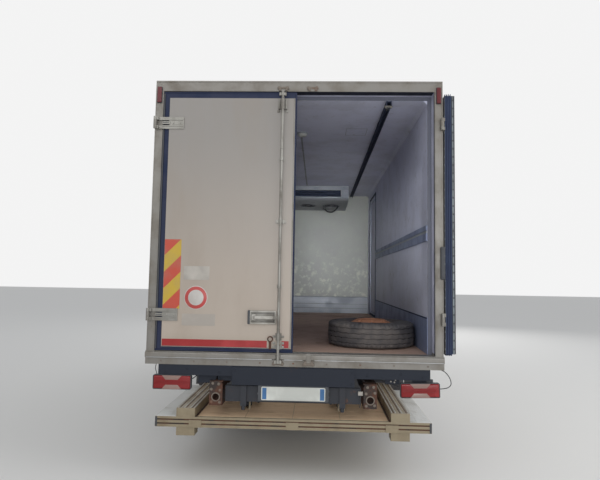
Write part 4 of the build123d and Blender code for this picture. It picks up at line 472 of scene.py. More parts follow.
def plastic(name, colour, roughness=0.55):
    """Moulded plastic with a fine grain and a bloom of dust."""
    p = Paint(name)
    grain = p.cells(420.0)
    dust = p.ramp(p.noise(4.0, 4.0), 0.45, 0.8)
    pale = tuple(min(1.0, c * 1.8 + 0.03) for c in colour[:3]) + (1.0,)
    return p.surface(Base_Color=p.mix(dust * 0.5, colour, pale), Roughness=roughness + dust * 0.2,
                     Normal=p.bump(grain, 0.0003, 0.5))


def clear_glass(name, tint):
    """Window glass: clear, faintly tinted, with a film of dust."""
    p = Paint(name)
    film = p.ramp(p.noise(3.0, 4.0), 0.4, 0.8)
    return p.surface(Base_Color=tint, Roughness=0.02 + film * 0.06, Transmission_Weight=0.92, IOR=1.45,
                     Alpha=0.55 + film * 0.1)


def fabric(name, colour, fleck):
    """Woven seat cloth with a fleck in its weave."""
    p = Paint(name)
    weave = p.node("ShaderNodeTexWave", {"wave_type": "BANDS", "bands_direction": "DIAGONAL"}, out=1,
                   Vector=p.place, Scale=160.0, Distortion=2.0)
    patch = p.noise(30.0, 3.0)
    return p.surface(Base_Color=p.mix(p.ramp(patch, 0.5, 0.7) * 0.6, colour, fleck), Roughness=0.85,
                     Sheen_Weight=0.2, Normal=p.bump(weave, 0.0008, 0.6))


def door_skin(name, low, high, soil):
    """The rear doors' smooth skin, its white greyed as painted shade: warmer and lighter towards its foot, with faint
    wiping marks.
    """
    p = Paint(name)
    height = p.axes()[2]
    drift = p.noise(1.1, 4.0)
    base = p.mix(p.ramp(height + drift * 0.3, 1.2, 3.3), low, high)
    wiped = p.ramp(p.noise(3.0, 5.0, 0.6, stretch=(1.0, 1.0, 0.25)), 0.45, 0.8) * 0.28
    specks = p.ramp(p.noise(60.0, 4.0, 0.7), 0.68, 0.8) * 0.3
    foot = (1 - p.ramp(height + drift * 0.1, 1.12, 1.28)) * 0.4
    amount = p.clip(wiped + specks + foot)
    return p.surface(Base_Color=p.mix(amount, base, soil), Roughness=0.38 + amount * 0.3,
                     Normal=p.bump(drift, 0.004, 0.4))


def box_skin(name, outer, soil, lining, front, stain):
    """The body's panels: pale and streaked outside, blue grey inside, and stained on the front wall's inner face. Faces
    at the doorway's edge take a darker blue grey, painted shade.
    """
    p = Paint(name)
    x, y, z = p.axes()
    drift = p.noise(1.3, 4.0)
    runs = p.noise(9.0, 3.0, stretch=RUN_DOWN)
    foot = (1 - p.ramp(z + drift * 0.25, 0.9, 1.7)) * 0.5
    soiled = p.clip(p.ramp(drift, 0.35, 0.75) * 0.3 + p.ramp(runs, 0.55, 0.8) * 0.4 + foot)
    outside = p.mix(soiled, outer, soil)
    smears = p.ramp(p.noise(2.6, 6.0, 0.6), 0.42, 0.68)
    scuffs = p.ramp(p.noise(11.0, 6.0, 0.7), 0.56, 0.74) * 0.5
    low = 1 - p.ramp(z + drift * 0.4, 1.4, 2.4)
    wall = p.mix(p.clip(smears * 0.25 + scuffs + low * 0.25), lining, stain)
    end = p.mix(p.clip(smears * 0.3 + scuffs * 0.5), front, p.mix(scuffs, stain, (0.42, 0.43, 0.39, 1.0)))
    worn = p.ramp(p.noise(8.0, 6.0, 0.72), 0.50, 0.64) * (1 - p.ramp(z + drift * 0.3, 1.75, 2.6)) * 0.6
    end = p.mix(worn, end, linear(206, 206, 190))
    across = p.sum("ABSOLUTE", x, 0.0)
    inside = (across < HALF - 0.012) * (z < CEILING + 0.036) * (y < FRONT_INNER + 0.02)
    near_end = y > FRONT_INNER - 0.02
    # Painted shade: the faces at the doorway's edge take a darker blue grey, like the shaded lining beside them.
    doorway = y < REAR + 0.125
    lining = p.mix(doorway, p.mix(near_end, wall, end), linear(86, 89, 102))
    shade = p.mix(inside, outside, lining)
    dents = p.noise(2.2, 2.0)
    return p.surface(Base_Color=shade, Roughness=0.42 + soiled * 0.25, Normal=p.bump(dents, 0.004, 0.5))


def guard_metal(name, front, side, soil):
    """Kick plates and rub rails: bare and bright on the front wall; along the side walls the same metal takes a bluer
    colour, painted shade.
    """
    p = Paint(name)
    x, y, _ = p.axes()
    side_wall_painted_shade = (p.sum("ABSOLUTE", x, 0.0) > INNER - 0.016) * (y < FRONT_INNER - 0.01)
    lines = p.noise(180.0, 2.0, stretch=RUN_DOWN)
    patches = p.ramp(p.noise(5.0, 5.0, 0.6), 0.4, 0.72)
    shade = p.mix(patches * 0.5, p.mix(lines * 0.25, p.mix(side_wall_painted_shade, front, side), soil), soil)
    return p.surface(Base_Color=shade, Roughness=0.4 + patches * 0.25, Metallic=0.3 - patches * 0.15,
                     Normal=p.bump(lines, 0.0004, 0.35))


# Finishes
DUST = linear(139, 125, 108)
NAVY = linear(34, 44, 68)
NAVY_DUST = linear(66, 76, 98)
FINISHES = {
    "panel_white": box_skin("panel_white", linear(214, 212, 205), linear(150, 143, 131), linear(200, 203, 222),
                            linear(150, 153, 146), linear(138, 136, 138)),
    # The doors are white: both colours are written as a greyed beige, painted shade.
    "door_white": door_skin("door_white", linear(172, 160, 148), linear(139, 135, 131), DUST),
    "interior_grey": painted("interior_grey", linear(150, 154, 160), linear(104, 104, 104), streaks=0.6),
    # The frame's faces towards the doorway take a pale blue grey as painted light.
    "frame_grey": brushed("frame_grey", linear(131, 129, 125), linear(104, 96, 84), metallic=0.45,
                          reveal_painted_light=linear(206, 208, 226)),
    "seal_navy": rubber("seal_navy", NAVY, NAVY_DUST, 0.7),
    "gear_steel": brushed("gear_steel", linear(150, 149, 144), linear(88, 80, 70), metallic=0.6),
    "chassis_black": rusted("chassis_black", linear(48, 50, 56), linear(78, 52, 38), cover=0.25),
    "rust_steel": rusted("rust_steel", linear(50, 42, 39), linear(66, 42, 31), cover=0.7),
    "beam_navy": rusted("beam_navy", linear(26, 32, 44), linear(62, 46, 38), cover=0.15),
    "tank_aluminium": brushed("tank_aluminium", linear(184, 186, 188), linear(126, 120, 110), metallic=0.85),
    "plastic_grey": plastic("plastic_grey", linear(58, 60, 64)),
    "cab_white": painted("cab_white", linear(226, 225, 220), linear(158, 150, 138), roughness=0.25, coat=0.5,
                         streaks=0.5, grime_low=(0.5, 1.3)),
    "glass": clear_glass("glass", (0.75, 0.85, 0.85, 1.0)),
    "lamp_red": plastic("lamp_red", linear(126, 18, 22), 0.2),
    "seat_fabric": fabric("seat_fabric", linear(52, 56, 68), linear(112, 116, 130)),
    "tyre": rubber("tyre", linear(68, 66, 68), linear(132, 124, 118), 0.7),
    "wheel_steel": rusted("wheel_steel", linear(168, 168, 166), linear(96, 66, 46), cover=0.2),
    "spare_orange": rusted("spare_orange", linear(172, 122, 94), linear(104, 64, 46), cover=0.35),
    "platform_tan": brushed("platform_tan", linear(146, 135, 112), linear(112, 97, 74), along=(0.05, 1.0, 1.0),
                            metallic=0.2),
    "floor_brown": painted("floor_brown", linear(178, 150, 134), linear(112, 92, 82), roughness=0.7, speck=0.9),
    "cast_grey": rusted("cast_grey", linear(66, 64, 62), linear(84, 58, 42), cover=0.45),
    # The second colour is the side walls' bluish copy of the metal: painted shade.
    "kick_aluminium": guard_metal("kick_aluminium", linear(130, 134, 140), linear(128, 140, 172),
                                  linear(110, 114, 128)),
    "ram_steel": brushed("ram_steel", linear(84, 84, 86), linear(50, 46, 42), metallic=0.7),
}
for entry in frame["record"]["subparts"]:
    node = frame["nodes"][entry["node"]]
    node.data.materials.clear()
    node.data.materials.append(FINISHES[entry["material_slot"]])


PALE_LENS = plastic("pale_lens", linear(138, 112, 104), 0.3)
PLATE_WHITE = plastic("plate_white", linear(184, 186, 180), 0.35)
PLATE_BLUE = plastic("plate_blue", linear(44, 90, 135), 0.35)
LABEL_WHITE = plastic("label_white", linear(152, 147, 140), 0.4)
LABEL_BUFF = plastic("label_buff", linear(158, 151, 143), 0.4)
STRIP_RED = plastic("strip_red", linear(146, 30, 32), 0.3)
MIRROR = plastic("mirror_silver", linear(196, 202, 206), 0.04)
MARKER_RED = plastic("marker_red", linear(90, 18, 26), 0.3)
# The platform's boards: the floor's brown made lighter, painted light on a deck that lies in shade under the body.
DECK_BROWN_PAINTED_LIGHT = painted("deck_brown_painted_light", linear(216, 186, 152), linear(168, 140, 112), roughness=0.75, speck=0.8)
# Side decks and channel ribs: pale grey, brightened as painted light.
DECK_PALE_PAINTED_LIGHT = painted("deck_pale_painted_light", linear(208, 210, 208), linear(158, 154, 144), roughness=0.5, speck=0.5)
CABLE_BLACK = plastic("cable_black", linear(22, 24, 30), 0.5)
SEAL_DARK = rubber("seal_dark", linear(14, 19, 38), linear(30, 38, 60), 0.75)
# One navy rubber on both rear doors, in two copies: darker on the closed door as painted shade, paler on the open one
# as painted light.
SEAL_PAINTED_SHADE = rubber("seal_painted_shade", linear(23, 33, 62), linear(42, 52, 76), 0.7)
SEAL_PAINTED_LIGHT = rubber("seal_painted_light", linear(50, 62, 92), linear(82, 94, 120), 0.7)
EDGING_GREY = brushed("edging_grey", linear(112, 120, 124), linear(70, 72, 74), metallic=0.4)
HANDLE_SILVER = brushed("handle_silver", linear(186, 184, 178), linear(120, 114, 104), metallic=0.3)
CAST_BROWN = rusted("cast_brown", linear(116, 107, 98), linear(92, 62, 46), cover=0.4)
AMBER = plastic("amber_lens", linear(196, 104, 30), 0.25)
HEAD_GLASS = clear_glass("head_glass", (0.9, 0.93, 0.94, 1.0))


def warning_stripes():
    """Red and yellow bands that rise to the right at forty-five degrees, with grime over both."""
    p = Paint("warning_stripes")
    x, _, z = p.axes()
    band = p.sum("FRACT", (z - x - 0.018) / 0.282, 0.0)
    red = p.node("ShaderNodeMath", {"operation": "GREATER_THAN"}, s0=band, s1=0.5)
    grime = p.ramp(p.noise(7.0, 5.0), 0.4, 0.75) * 0.35
    colour = p.mix(red, linear(186, 156, 50), linear(182, 70, 52))
    return p.surface(Base_Color=p.mix(grime, colour, DUST), Roughness=0.4 + grime * 0.5)


def round_sign():
    """A white disc in a red ring, both blank."""
    p = Paint("round_sign")
    x, _, z = p.axes()
    across, up = x - SIGN_PLACE[0], z - SIGN_PLACE[1]
    far = p.sum("SQRT", across * across + up * up, 0.0)
    red = (far > 0.066) * (far < 0.094)
    grime = p.ramp(p.noise(9.0, 5.0), 0.4, 0.75) * 0.3
    colour = p.mix(red, linear(186, 182, 178), linear(176, 60, 58))
    return p.surface(Base_Color=p.mix(grime, colour, DUST), Roughness=0.4 + grime * 0.4)


WARNING_STRIPES = warning_stripes()
ROUND_SIGN = round_sign()


def make(name, shape, finish, body="chassis", slot=None, sharp=35.0):
    """A finished piece of the truck. Its finish is a slot's name, or else a material of its own. Faces that
    meet at less than the sharp angle shade as one."""
    if isinstance(finish, str):
        slot, finish = finish, FINISHES[finish]
    mesh = bpy.data.meshes.new(name)
    faces = [corners for group in shape.faces for corners in group.tolist()]
    mesh.from_pydata(shape.points.tolist(), [], faces)
    mesh.shade_smooth()
    mesh.set_sharp_from_angle(angle=math.radians(sharp))
    mesh.materials.append(finish)
    piece = bpy.data.objects.new(name, mesh)
    bpy.context.scene.collection.objects.link(piece)
    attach(piece, body)
    return piece


def gather(*shapes):
    """Several shapes as one."""
    total = shapes[0]
    for shape in shapes[1:]:
        total = total + shape
    return total


def rear_frame_trims():
    """Folded edges, bolts and rivets of the frame round the rear doors, and the sill's worn bright lip."""
    post = (HALF - 0.068, HALF - 0.004)
    height = (FLOOR + 0.004, HEADER_UNDER)
    between = ((FLOOR + 0.004, FLOOR + 0.230), (FLOOR + 0.385, FLOOR + 1.890), (FLOOR + 2.045, HEADER_UNDER))
    fold = gather(
        plate("rear", (post[0], post[0] + 0.006), height, REAR, 0.003, 0.002, 0.001),
        *[plate("rear", (post[1] - 0.006, post[1]), part, REAR, 0.003, 0.002, 0.001) for part in between],
    ).both()
    header = plate("rear", (-post[1], post[1]), (ROOF_TOP - 0.012, ROOF_TOP - 0.004), REAR, 0.003, 0.003, 0.001)
    gutter = plate("rear", (-1.178, 1.178), (HEADER_UNDER + 0.001, HEADER_UNDER + 0.007), REAR, 0.003, 0.003, 0.001)
    make("rear_frame_folds", fold + header + gutter, "frame_grey")
    lip = gather(*[plate("rear", part, (FLOOR - 0.054, FLOOR - 0.048), REAR - 0.015, 0.002, 0.002, 0.001)
                   for part in ((-1.245, -BAR_X - 0.05), (0.05 - BAR_X, BAR_X - 0.05), (BAR_X + 0.05, 1.245))])
    make("sill_wear", lip, "tank_aluminium")
    sill = bolts("rear", row((-1.12, REAR, FLOOR - 0.082), (1.12, REAR, FLOOR - 0.082), 9), 0.0055, 0.004)
    make("sill_bolts", sill, CAST_BROWN)
    edge = rivets("rear", row((-1.2, REAR, ROOF_TOP - 0.03), (1.2, REAR, ROOF_TOP - 0.03), 17))
    posts = rivets("rear", row((1.215, REAR, FLOOR + 0.2), (1.215, REAR, ROOF_TOP - 0.35), 13)).both()
    make("rear_frame_rivets", edge + posts, "frame_grey")


def header_seal():
    """The dark rubber stuck under the header and down both posts, where the doors' own rubber meets them."""
    line = plate("under", (-1.176, 1.176), (REAR + 0.001, REAR + 0.080), HEADER_UNDER, 0.0015, 0.002, 0.0005)
    height = (FLOOR + 0.006, HEADER_UNDER - 0.002)
    posts = plate("left", (REAR + 0.001, REAR + 0.028), height, HALF - 0.070, 0.0012, 0.002, 0.0004)
    make("header_seal", line + posts.both(), SEAL_DARK)


def marker_lamps():
    """Small red lamps high on the rear frame, each a ribbed lens in a black base."""
    base = plate("rear", (1.193, 1.237), (3.197, 3.343), REAR, 0.010, 0.006).both()
    make("marker_bases", base, "plastic_grey")
    lens = plate("rear", (1.196, 1.234), (3.200, 3.340), REAR, 0.021, 0.005,
                 levels=((0, 0.008), (0, 0.015), (0.002, 0.0190), (0.0045, 0.021)))
    ribs = plate("rear", (1.203, 1.227), (3.212, 3.215), REAR, 0.022, 0.001, 0.0005).copies(
        row((0, 0, 0), (0, 0, 0.113), 12))
    make("marker_lenses", (lens + ribs).both(), MARKER_RED, slot="lamp_red")


def tail_lamp(centre, turn):
    """One tail lamp: black tray with a lip, crowned red lens, two pale wedges that pinch its middle."""
    x, z = centre
    tray = plate("rear", (-0.163, 0.163), (-0.060, 0.060), 0, 0.040, 0.012,
                 levels=((0, 0), (0, 0.038), (0.002, 0.040), (0.005, 0.040), (0.007, 0.030)))
    lens = plate("rear", (-0.157, 0.157), (-0.054, 0.054), 0, 0.046, 0.010,
                 levels=((0, 0.026), (0, 0.038), (0.003, 0.043), (0.006, 0.0455), (0.009, 0.0465)))
    rib = plate("rear", (-0.150, 0.150), (-0.0012, 0.0012), 0, 0.048, 0.001, 0.0006)
    lens = lens + rib.copies([(0, 0, 0.006 * k) for k in range(-2, 3)])
    wedge = np.array([(-0.052, 0.021), (0.052, 0.021), (0.083, 0.056), (-0.083, 0.056)])
    levels = ((0, 0.040), (0, 0.0485), (0.003, 0.0495))
    pale = layered(wedge, levels, "rear") + layered((wedge * (1, -1))[::-1], levels, "rear")
    c, s = math.cos(turn), math.sin(turn)
    spin = np.array([[c, 0, s], [0, 1, 0], [-s, 0, c]])
    return [Shape(part.points @ spin + (x, REAR + 0.038, z), part.faces) for part in (tray, lens, pale)]


def rear_lights():
    """Both tail lamps and the leads that come out of them."""
    left = tail_lamp((-1.020, 0.792), 0.0)
    right = tail_lamp((1.056, 0.771), math.radians(1.6))
    make("tail_lamp_trays", left[0] + right[0], "plastic_grey")
    make("tail_lamp_lenses", left[1] + right[1], "lamp_red")
    make("tail_lamp_wedges", left[2] + right[2], PALE_LENS)
    backs = plate("rear", (-1.130, -0.910), (0.790, 0.858), REAR + 0.046, 0.006, 0.004) + plate(
        "rear", (0.930, 1.170), (0.780, 0.858), REAR + 0.046, 0.006, 0.004)
    make("lamp_backs", backs, "plastic_grey")
    leads = gather(
        lead([(-1.165, REAR + 0.03, 0.950), (-1.172, REAR + 0.03, 0.900), (-1.160, REAR + 0.035, 0.852)], 0.003),
        lead([(-0.858, REAR + 0.05, 0.815), (-0.835, REAR + 0.06, 0.832), (-0.800, REAR + 0.09, 0.868),
              (-0.780, REAR + 0.13, 0.885)], 0.004),
        lead([(1.215, REAR + 0.03, 0.945), (1.262, REAR + 0.03, 0.925), (1.302, REAR + 0.03, 0.880),
              (1.316, REAR + 0.03, 0.824), (1.285, REAR + 0.03, 0.793), (1.222, REAR + 0.035, 0.781)], 0.0035),
        lead([(0.509, REAR + 0.10, 0.860), (0.580, REAR + 0.09, 0.842), (0.724, REAR + 0.08, 0.836),
              (0.800, REAR + 0.07, 0.815), (0.889, REAR + 0.05, 0.790)], 0.005),
        lead([(0.540, REAR + 0.11, 0.862), (0.640, REAR + 0.10, 0.800), (0.735, REAR + 0.10, 0.830),
              (0.790, REAR + 0.09, 0.858)], 0.004),
    )
    make("lamp_leads", leads, CABLE_BLACK)


def number_plate():
    """A blank number plate with a blue band at each end, in a black holder with two studs."""
    holder = plate("rear", (-0.290, 0.300), (0.655, 0.785), REAR + 0.004, 0.008, 0.008)
    studs = bolts("rear", [(-0.288, REAR - 0.003, 0.716), (0.297, REAR - 0.003, 0.70), (0.297, REAR - 0.003, 0.745)],
                  0.007, 0.006)
    make("plate_holder", holder + studs, "plastic_grey")
    board = plate("rear", (-0.262, 0.272), (0.664, 0.774), REAR - 0.004, 0.004, 0.010, 0.001)
    rim = border("rear", (-0.257, 0.267), (0.669, 0.769), REAR - 0.008, bead(0.004, 0.001, 0.0012))
    make("number_plate", board + rim, PLATE_WHITE)
    bands = gather(
        plate("rear", (-0.2555, -0.218), (0.6705, 0.7675), REAR - 0.008, 0.0006, 0.002, 0.0003),
        plate("rear", (0.228, 0.2655), (0.6705, 0.7675), REAR - 0.008, 0.0006, 0.002, 0.0003),
    )
    make("number_plate_bands", bands, PLATE_BLUE)


def door_signs():
    """What is stuck to the closed rear door: a striped board, a round sign, two blank labels and a red strip."""
    body = "rear_door_left"
    board = plate("rear", (-1.120, -0.977), (1.405, 1.997), DOOR_FACE, 0.002, 0.004, 0.0006)
    make("warning_board", board, WARNING_STRIPES, body)
    disc = layered(ring(0.100, 64, *SIGN_PLACE), ((0, 0), (0, 0.0012), (0.0006, 0.0016)), "rear", (0, DOOR_FACE, 0))
    make("round_sign", disc, ROUND_SIGN, body)
    labels = plate("rear", (-0.948, -0.728), (1.654, 1.770), DOOR_FACE, 0.0008, 0.003, 0.0003)
    make("upper_label", labels, LABEL_WHITE, body)
    lower = plate("rear", (-0.953, -0.668), (1.267, 1.366), DOOR_FACE, 0.0008, 0.003, 0.0003)
    make("lower_label", lower, LABEL_BUFF, body)
    strip = gather(
        plate("rear", (-1.117, -0.225), (1.095, 1.153), DOOR_FACE, 0.0008, 0.002, 0.0003),
        plate("rear", (-0.101, -0.041), (1.095, 1.153), DOOR_FACE, 0.0008, 0.002, 0.0003),
    )
    make("red_strip", strip, STRIP_RED, body)


def treaded_tyre(middle, axis="x"):
    """A tyre: crowned tread of five ribs with zigzag grooves, notched shoulders, bulged and ringed walls."""
    half = TYRE_WIDE / 2
    ribs = np.array([(-0.78, 0), (-0.66, 0), (-0.60, 0), (-0.585, -1), (-0.545, -1), (-0.53, 0), (-0.30, 0),
                     (-0.22, 0), (-0.205, -1), (-0.165, -1), (-0.15, 0), (0.0, 0)])
    ribs = np.vstack([ribs, ribs[-2::-1] * (-1, 1)])
    crown = TYRE_R - 0.007 * ribs[:, 0] ** 2 - 0.011 * (ribs[:, 1] < 0)
    wall = np.array([(0.86, TYRE_R - 0.012), (0.93, TYRE_R - 0.028), (0.965, TYRE_R - 0.052), (0.995, TYRE_R - 0.085),
                     (1.0, TYRE_R - 0.105), (0.975, TYRE_R - 0.108), (0.98, TYRE_R - 0.116), (0.90, TYRE_R - 0.145),
                     (0.80, TYRE_R - 0.160), (0.76, RIM_R + 0.006), (0.70, RIM_R - 0.002), (0.55, RIM_R - 0.004)])
    outline = np.vstack([np.column_stack([ribs[:, 0], crown]), wall, (wall * (-1, 1))[::-1]])

    def wave(angles, along, radius):
        """Grooves weave from side to side, and shoulder blocks are cut between by notches."""
        tread = np.abs(along) < 0.72
        weave = 0.03 * (2 / math.pi) * np.arcsin(np.sin(angles * 30))
        along = np.where(tread & (np.abs(along) > 0.01), along + weave, along)
        notch = (np.sin(angles * 60) > 0.45) & (np.abs(along) > 0.70) & (radius > TYRE_R - 0.03)
        return along * half, radius - 0.009 * notch

    return spun(outline, middle, axis, 240, wave)


def tyres():
    """Treaded tyres in the place of the plain ones, and the spare that lies in the load space."""
    places = {"tyre_front_left": (-0.945,), "tyre_front_right": (0.945,), "tyres_rear_left": (-0.800, -1.056),
              "tyres_rear_right": (0.800, 1.056)}
    bodies = ("wheel_front_left", "wheel_front_right", "wheels_rear_left", "wheels_rear_right")
    for (node, spots), body in zip(places.items(), bodies):
        axle = AXLES[0] if "front" in node else AXLES[1]
        shapes = [treaded_tyre((x, axle, TYRE_R)) for x in spots]
        piece = make("tread_" + node, gather(*shapes), "tyre", body, sharp=28)
        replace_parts(piece, node)
    lo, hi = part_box("spare_tyre")
    spare = treaded_tyre(((lo.x + hi.x) / 2, (lo.y + hi.y) / 2, (lo.z + hi.z) / 2), "z")
    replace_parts(make("tread_spare", spare, "tyre", sharp=28), "spare_tyre")


def frame_block(outer, inner, depth):
    """A rectangular frame on the truck's rear: outer and inner are (left, right, foot, head), depth is a range."""
    corners = np.array([(0, 2), (1, 2), (1, 3), (0, 3)])
    rings = [np.insert(np.array(edge)[corners], 1, y, axis=1)
             for edge, y in ((outer, depth[0]), (outer, depth[1]), (inner, depth[1]), (inner, depth[0]))]
    return Shape(np.stack(rings, axis=1), [quads(4, 4, along=True)])


def rear_door_rubber():
    """The rubber frame of the closed left door: a body round the panel, and a comb of fins that run round it."""
    fin, pitch, count = 0.012, 0.0150, 4
    start = REAR + 0.004
    outer = np.array((SEAL_X[0], SEAL_X[1], SEAL_Z[0], SEAL_Z[1]))
    body = frame_block(outer + fin * np.array((1, -1, 1, -1)), (LEAF_X[0], LEAF_X[1], LEAF_Z[0], LEAF_Z[1]),
                       (start, REAR + 0.081))
    depths = np.arange(count)[:, None] * pitch + np.array([0.0, 0.002, 0.006, 0.008])
    tips = np.tile([fin + 0.001, 0.0, 0.0, fin + 0.001], (count, 1))
    comb = np.column_stack([tips.ravel(), -depths.ravel()])
    comb = np.vstack([comb, [(fin + 0.003, -depths[-1, -1]), (fin + 0.003, 0.0)]])
    return body + border("rear", SEAL_X, SEAL_Z, start, comb)


def door_edgings():
    """Finned rubber frames of both doors, with a bright slotted edging behind and a dark ticked one in front."""
    rubber_frame = rear_door_rubber().mirrored()
    height = (SEAL_Z[0] + 0.016, SEAL_Z[1] - 0.016)
    outer = -SEAL_X[0]
    silver = plate("right", (REAR + 0.0635, REAR + 0.0785), height, outer - 0.013, 0.012, 0.002, 0.001)
    dark_back = plate("front", (outer - 0.052, outer - 0.001), height, REAR + 0.081, 0.006, 0.002, 0.001)
    spots = row((0, 0, height[0] + 0.04), (0, 0, height[1] - 0.04), 31)
    slots = plate("right", (REAR + 0.0655, REAR + 0.0785), (-0.007, 0.007), outer - 0.0012, 0.0010, 0.001, 0.0003)
    slots = slots.copies(spots)
    dark = plate("rear", (outer - 0.012, outer - 0.001), height, REAR + 0.004, 0.007, 0.002, 0.001)
    ticks = plate("right", (REAR - 0.002, REAR + 0.003), (-0.008, 0.008), outer - 0.001, 0.0006, 0.001, 0.0003)
    ticks = ticks.copies(spots)
    # The closed door's rubber is the darker copy (painted shade), the open door's the paler (painted light).
    for name, placed, finish in (("left", Shape.mirrored, SEAL_PAINTED_SHADE), ("right", Shape.opened, SEAL_PAINTED_LIGHT)):
        body = "rear_door_" + name
        piece = make("finned_rubber_" + name, placed(rubber_frame), finish, body)
        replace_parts(piece, "door_seal_" + name)
        make("bright_edging_" + name, placed(silver + ticks), EDGING_GREY, body)
        make("dark_edging_" + name, placed(dark + dark_back + slots), "plastic_grey", body)


def hinge_dress(z):
    """Raised ribs, a slotted boss and screws on one hinge strap of the closed left door."""
    face = DOOR_FACE - 0.007
    ribs = gather(*[plate("rear", (-1.186, -0.998), (z + low, z + low + 0.010), face, 0.005, 0.003, 0.0015)
                    for low in (0.022, -0.032)])
    boss = plate("rear", (-1.180, -1.112), (z - 0.013, z + 0.013), face, 0.008, 0.003, 0.002)
    pad = plate("rear", (-1.098, -1.004), (z - 0.016, z + 0.016), face, 0.003, 0.004, 0.001)
    screws = bolts("rear", [(x, face - 0.003, z) for x in (-1.080, -1.022)], 0.008, 0.005)
    return ribs + boss + pad + screws


def door_hardware():
    """Ribs, brackets and screws of both rear doors, and the closed left one's ring, handle trim and edges."""
    body = "rear_door_left"
    guides = [FLOOR + z for z in (2.075, 0.085, 0.139, 0.054)]
    dress = gather(*[hinge_dress(z) for z in HINGE_HEIGHTS])
    slot_lines = gather(*[
        plate("rear", (-1.174, -1.120), (z - 0.003, z + 0.003), DOOR_FACE - 0.015, 0.0008, 0.002, 0.0004)
        for z in HINGE_HEIGHTS])
    posts = gather(*[
        plate("rear", (-BAR_X + dx - 0.006, -BAR_X + dx + 0.006), (FLOOR + 2.088, FLOOR + 2.182), DOOR_FACE,
              0.030, 0.003, 0.002) for dx in (-0.032, 0.032)])
    feet = gather(*[
        plate("rear", (-BAR_X + dx - 0.012, -BAR_X + dx + 0.012), (z - 0.010, z + 0.010), DOOR_FACE, 0.006, 0.003)
        for dx in (-0.036, 0.036) for z in guides])
    clip = plate("rear", (-BAR_X - 0.046, -BAR_X + 0.046), (FLOOR + 1.094, FLOOR + 1.126), DOOR_FACE, 0.008, 0.010)
    heads = [(-BAR_X + dx, DOOR_FACE - 0.006, z) for dx in (-0.037, 0.037) for z in guides]
    heads += [(-BAR_X + dx, DOOR_FACE - 0.008, FLOOR + 1.110) for dx in (-0.034, 0.034)]
    small = bolts("rear", heads, 0.0075, 0.006)
    turn = spun([(dy, 0.0133 + dr) for dy, dr in ((-0.002, 0), (-0.001, 0.003), (0.001, 0.003), (0.002, 0))],
                (-BAR_X, DOOR_FACE - 0.027, FLOOR + 2.190), "z", 24)
    collars = gather(*[turn.moved(z=dz) for dz in (0.0, -0.45, -1.06, -1.99)])
    metal = dress + posts + feet + clip + small + collars
    make("door_fittings_left", metal, "gear_steel", body)
    make("door_fittings_right", metal.mirrored().opened(), "gear_steel", "rear_door_right")
    ring_x = -0.197
    hoop = spun([(-0.004, 0.016), (-0.004, 0.025), (0.004, 0.025), (0.004, 0.016)],
                (ring_x, DOOR_FACE - 0.0075, FLOOR + 0.118), "y", 32)
    tail = carried(round_box((-0.010, 0.010), (-0.003, 0.003), 0.002, 1),
                   [(ring_x, DOOR_FACE - 0.0065, FLOOR + z) for z in (0.098, 0.034)], (0, 1, 0))
    make("door_ring", hoop + tail, "rust_steel", body)
    tray = (FLOOR + 0.242, FLOOR + 0.354)
    rim = border("rear", (-0.374, -0.150), (tray[0] + 0.001, tray[1] - 0.001), DOOR_FACE - 0.018,
                 bead(0.011, 0.002, 0.0025))
    grip = plate("rear", (-0.330, -0.176), (FLOOR + 0.284, FLOOR + 0.312), DOOR_FACE - 0.034, 0.006, 0.008, 0.003)
    latch = plate("rear", (-0.358, -0.322), (FLOOR + 0.272, FLOOR + 0.324), DOOR_FACE - 0.006, 0.018, 0.008, 0.004)
    make("handle_trim", rim + grip + latch, HANDLE_SILVER, body)
    end = plate("rear", (-0.390, -0.368), (tray[0] - 0.002, tray[1] + 0.002), DOOR_FACE, 0.022, 0.006, 0.003)
    joint = border("rear", (-0.352, -0.168), (tray[0] + 0.022, tray[1] - 0.022), DOOR_FACE - 0.004,
                   bead(0.004, 0.001, 0.001))
    make("handle_dark_parts", end + joint, "plastic_grey", body)
    make("hinge_slot_lines", slot_lines, "plastic_grey", body)
    skin = plate("rear", (LEAF_X[1] - 0.012, LEAF_X[1] - 0.001), (LEAF_Z[0] + 0.004, LEAF_Z[1] - 0.004),
                 DOOR_FACE, 0.002, 0.002, 0.0008)
    foot = plate("rear", (LEAF_X[0] + 0.004, LEAF_X[1] - 0.014), (LEAF_Z[0] + 0.001, LEAF_Z[0] + 0.007),
                 DOOR_FACE, 0.002, 0.002, 0.0008)
    make("door_skin_edges", skin + foot, "frame_grey", body)


def keepers():
    """The cast keepers on header and sill that take the cams of the locking bars."""
    total = []
    for x in (-BAR_X, BAR_X):
        for z, up in ((FLOOR - 0.086, 1), (HEADER_UNDER + 0.030, -1)):
            ends = gather(*[layered(ring(0.015, 12, x + dx, z), ((0, 0.006), (0, 0.012), (0.003, 0.015)), "rear",
                                    (0, REAR, 0)) for dx in (-0.036, 0.036)])
            span = (z - 0.010, z + 0.010)
            web = plate("rear", (x - 0.040, x + 0.040), span, REAR - 0.006, 0.008, 0.006, 0.003)
            tall = (z - 0.018 + 0.010 * up, z + 0.018 + 0.010 * up)
            lugs = gather(*[plate("rear", (x + dx - 0.010, x + dx + 0.010), tall, REAR - 0.006, 0.0095, 0.006, 0.003)
                            for dx in (-0.028, 0.028)])
            heads = bolts("rear", [(x + dx, REAR - 0.0125, z) for dx in (-0.036, 0.036)], 0.007, 0.0045)
            total += [ends, web, lugs, heads]
    make("bar_keepers", gather(*total), CAST_BROWN)


def post_fittings():
    """The black holder on the right post, with a knob at each end."""
    holder = plate("rear", (1.224, 1.257), (FLOOR + 0.640, FLOOR + 0.915), REAR, 0.026, 0.010, 0.006)
    knobs = bolts("rear", [(1.240, REAR - 0.026, FLOOR + z) for z in (0.660, 0.895)], 0.006, 0.004)
    make("door_holder", holder + knobs, "plastic_grey")


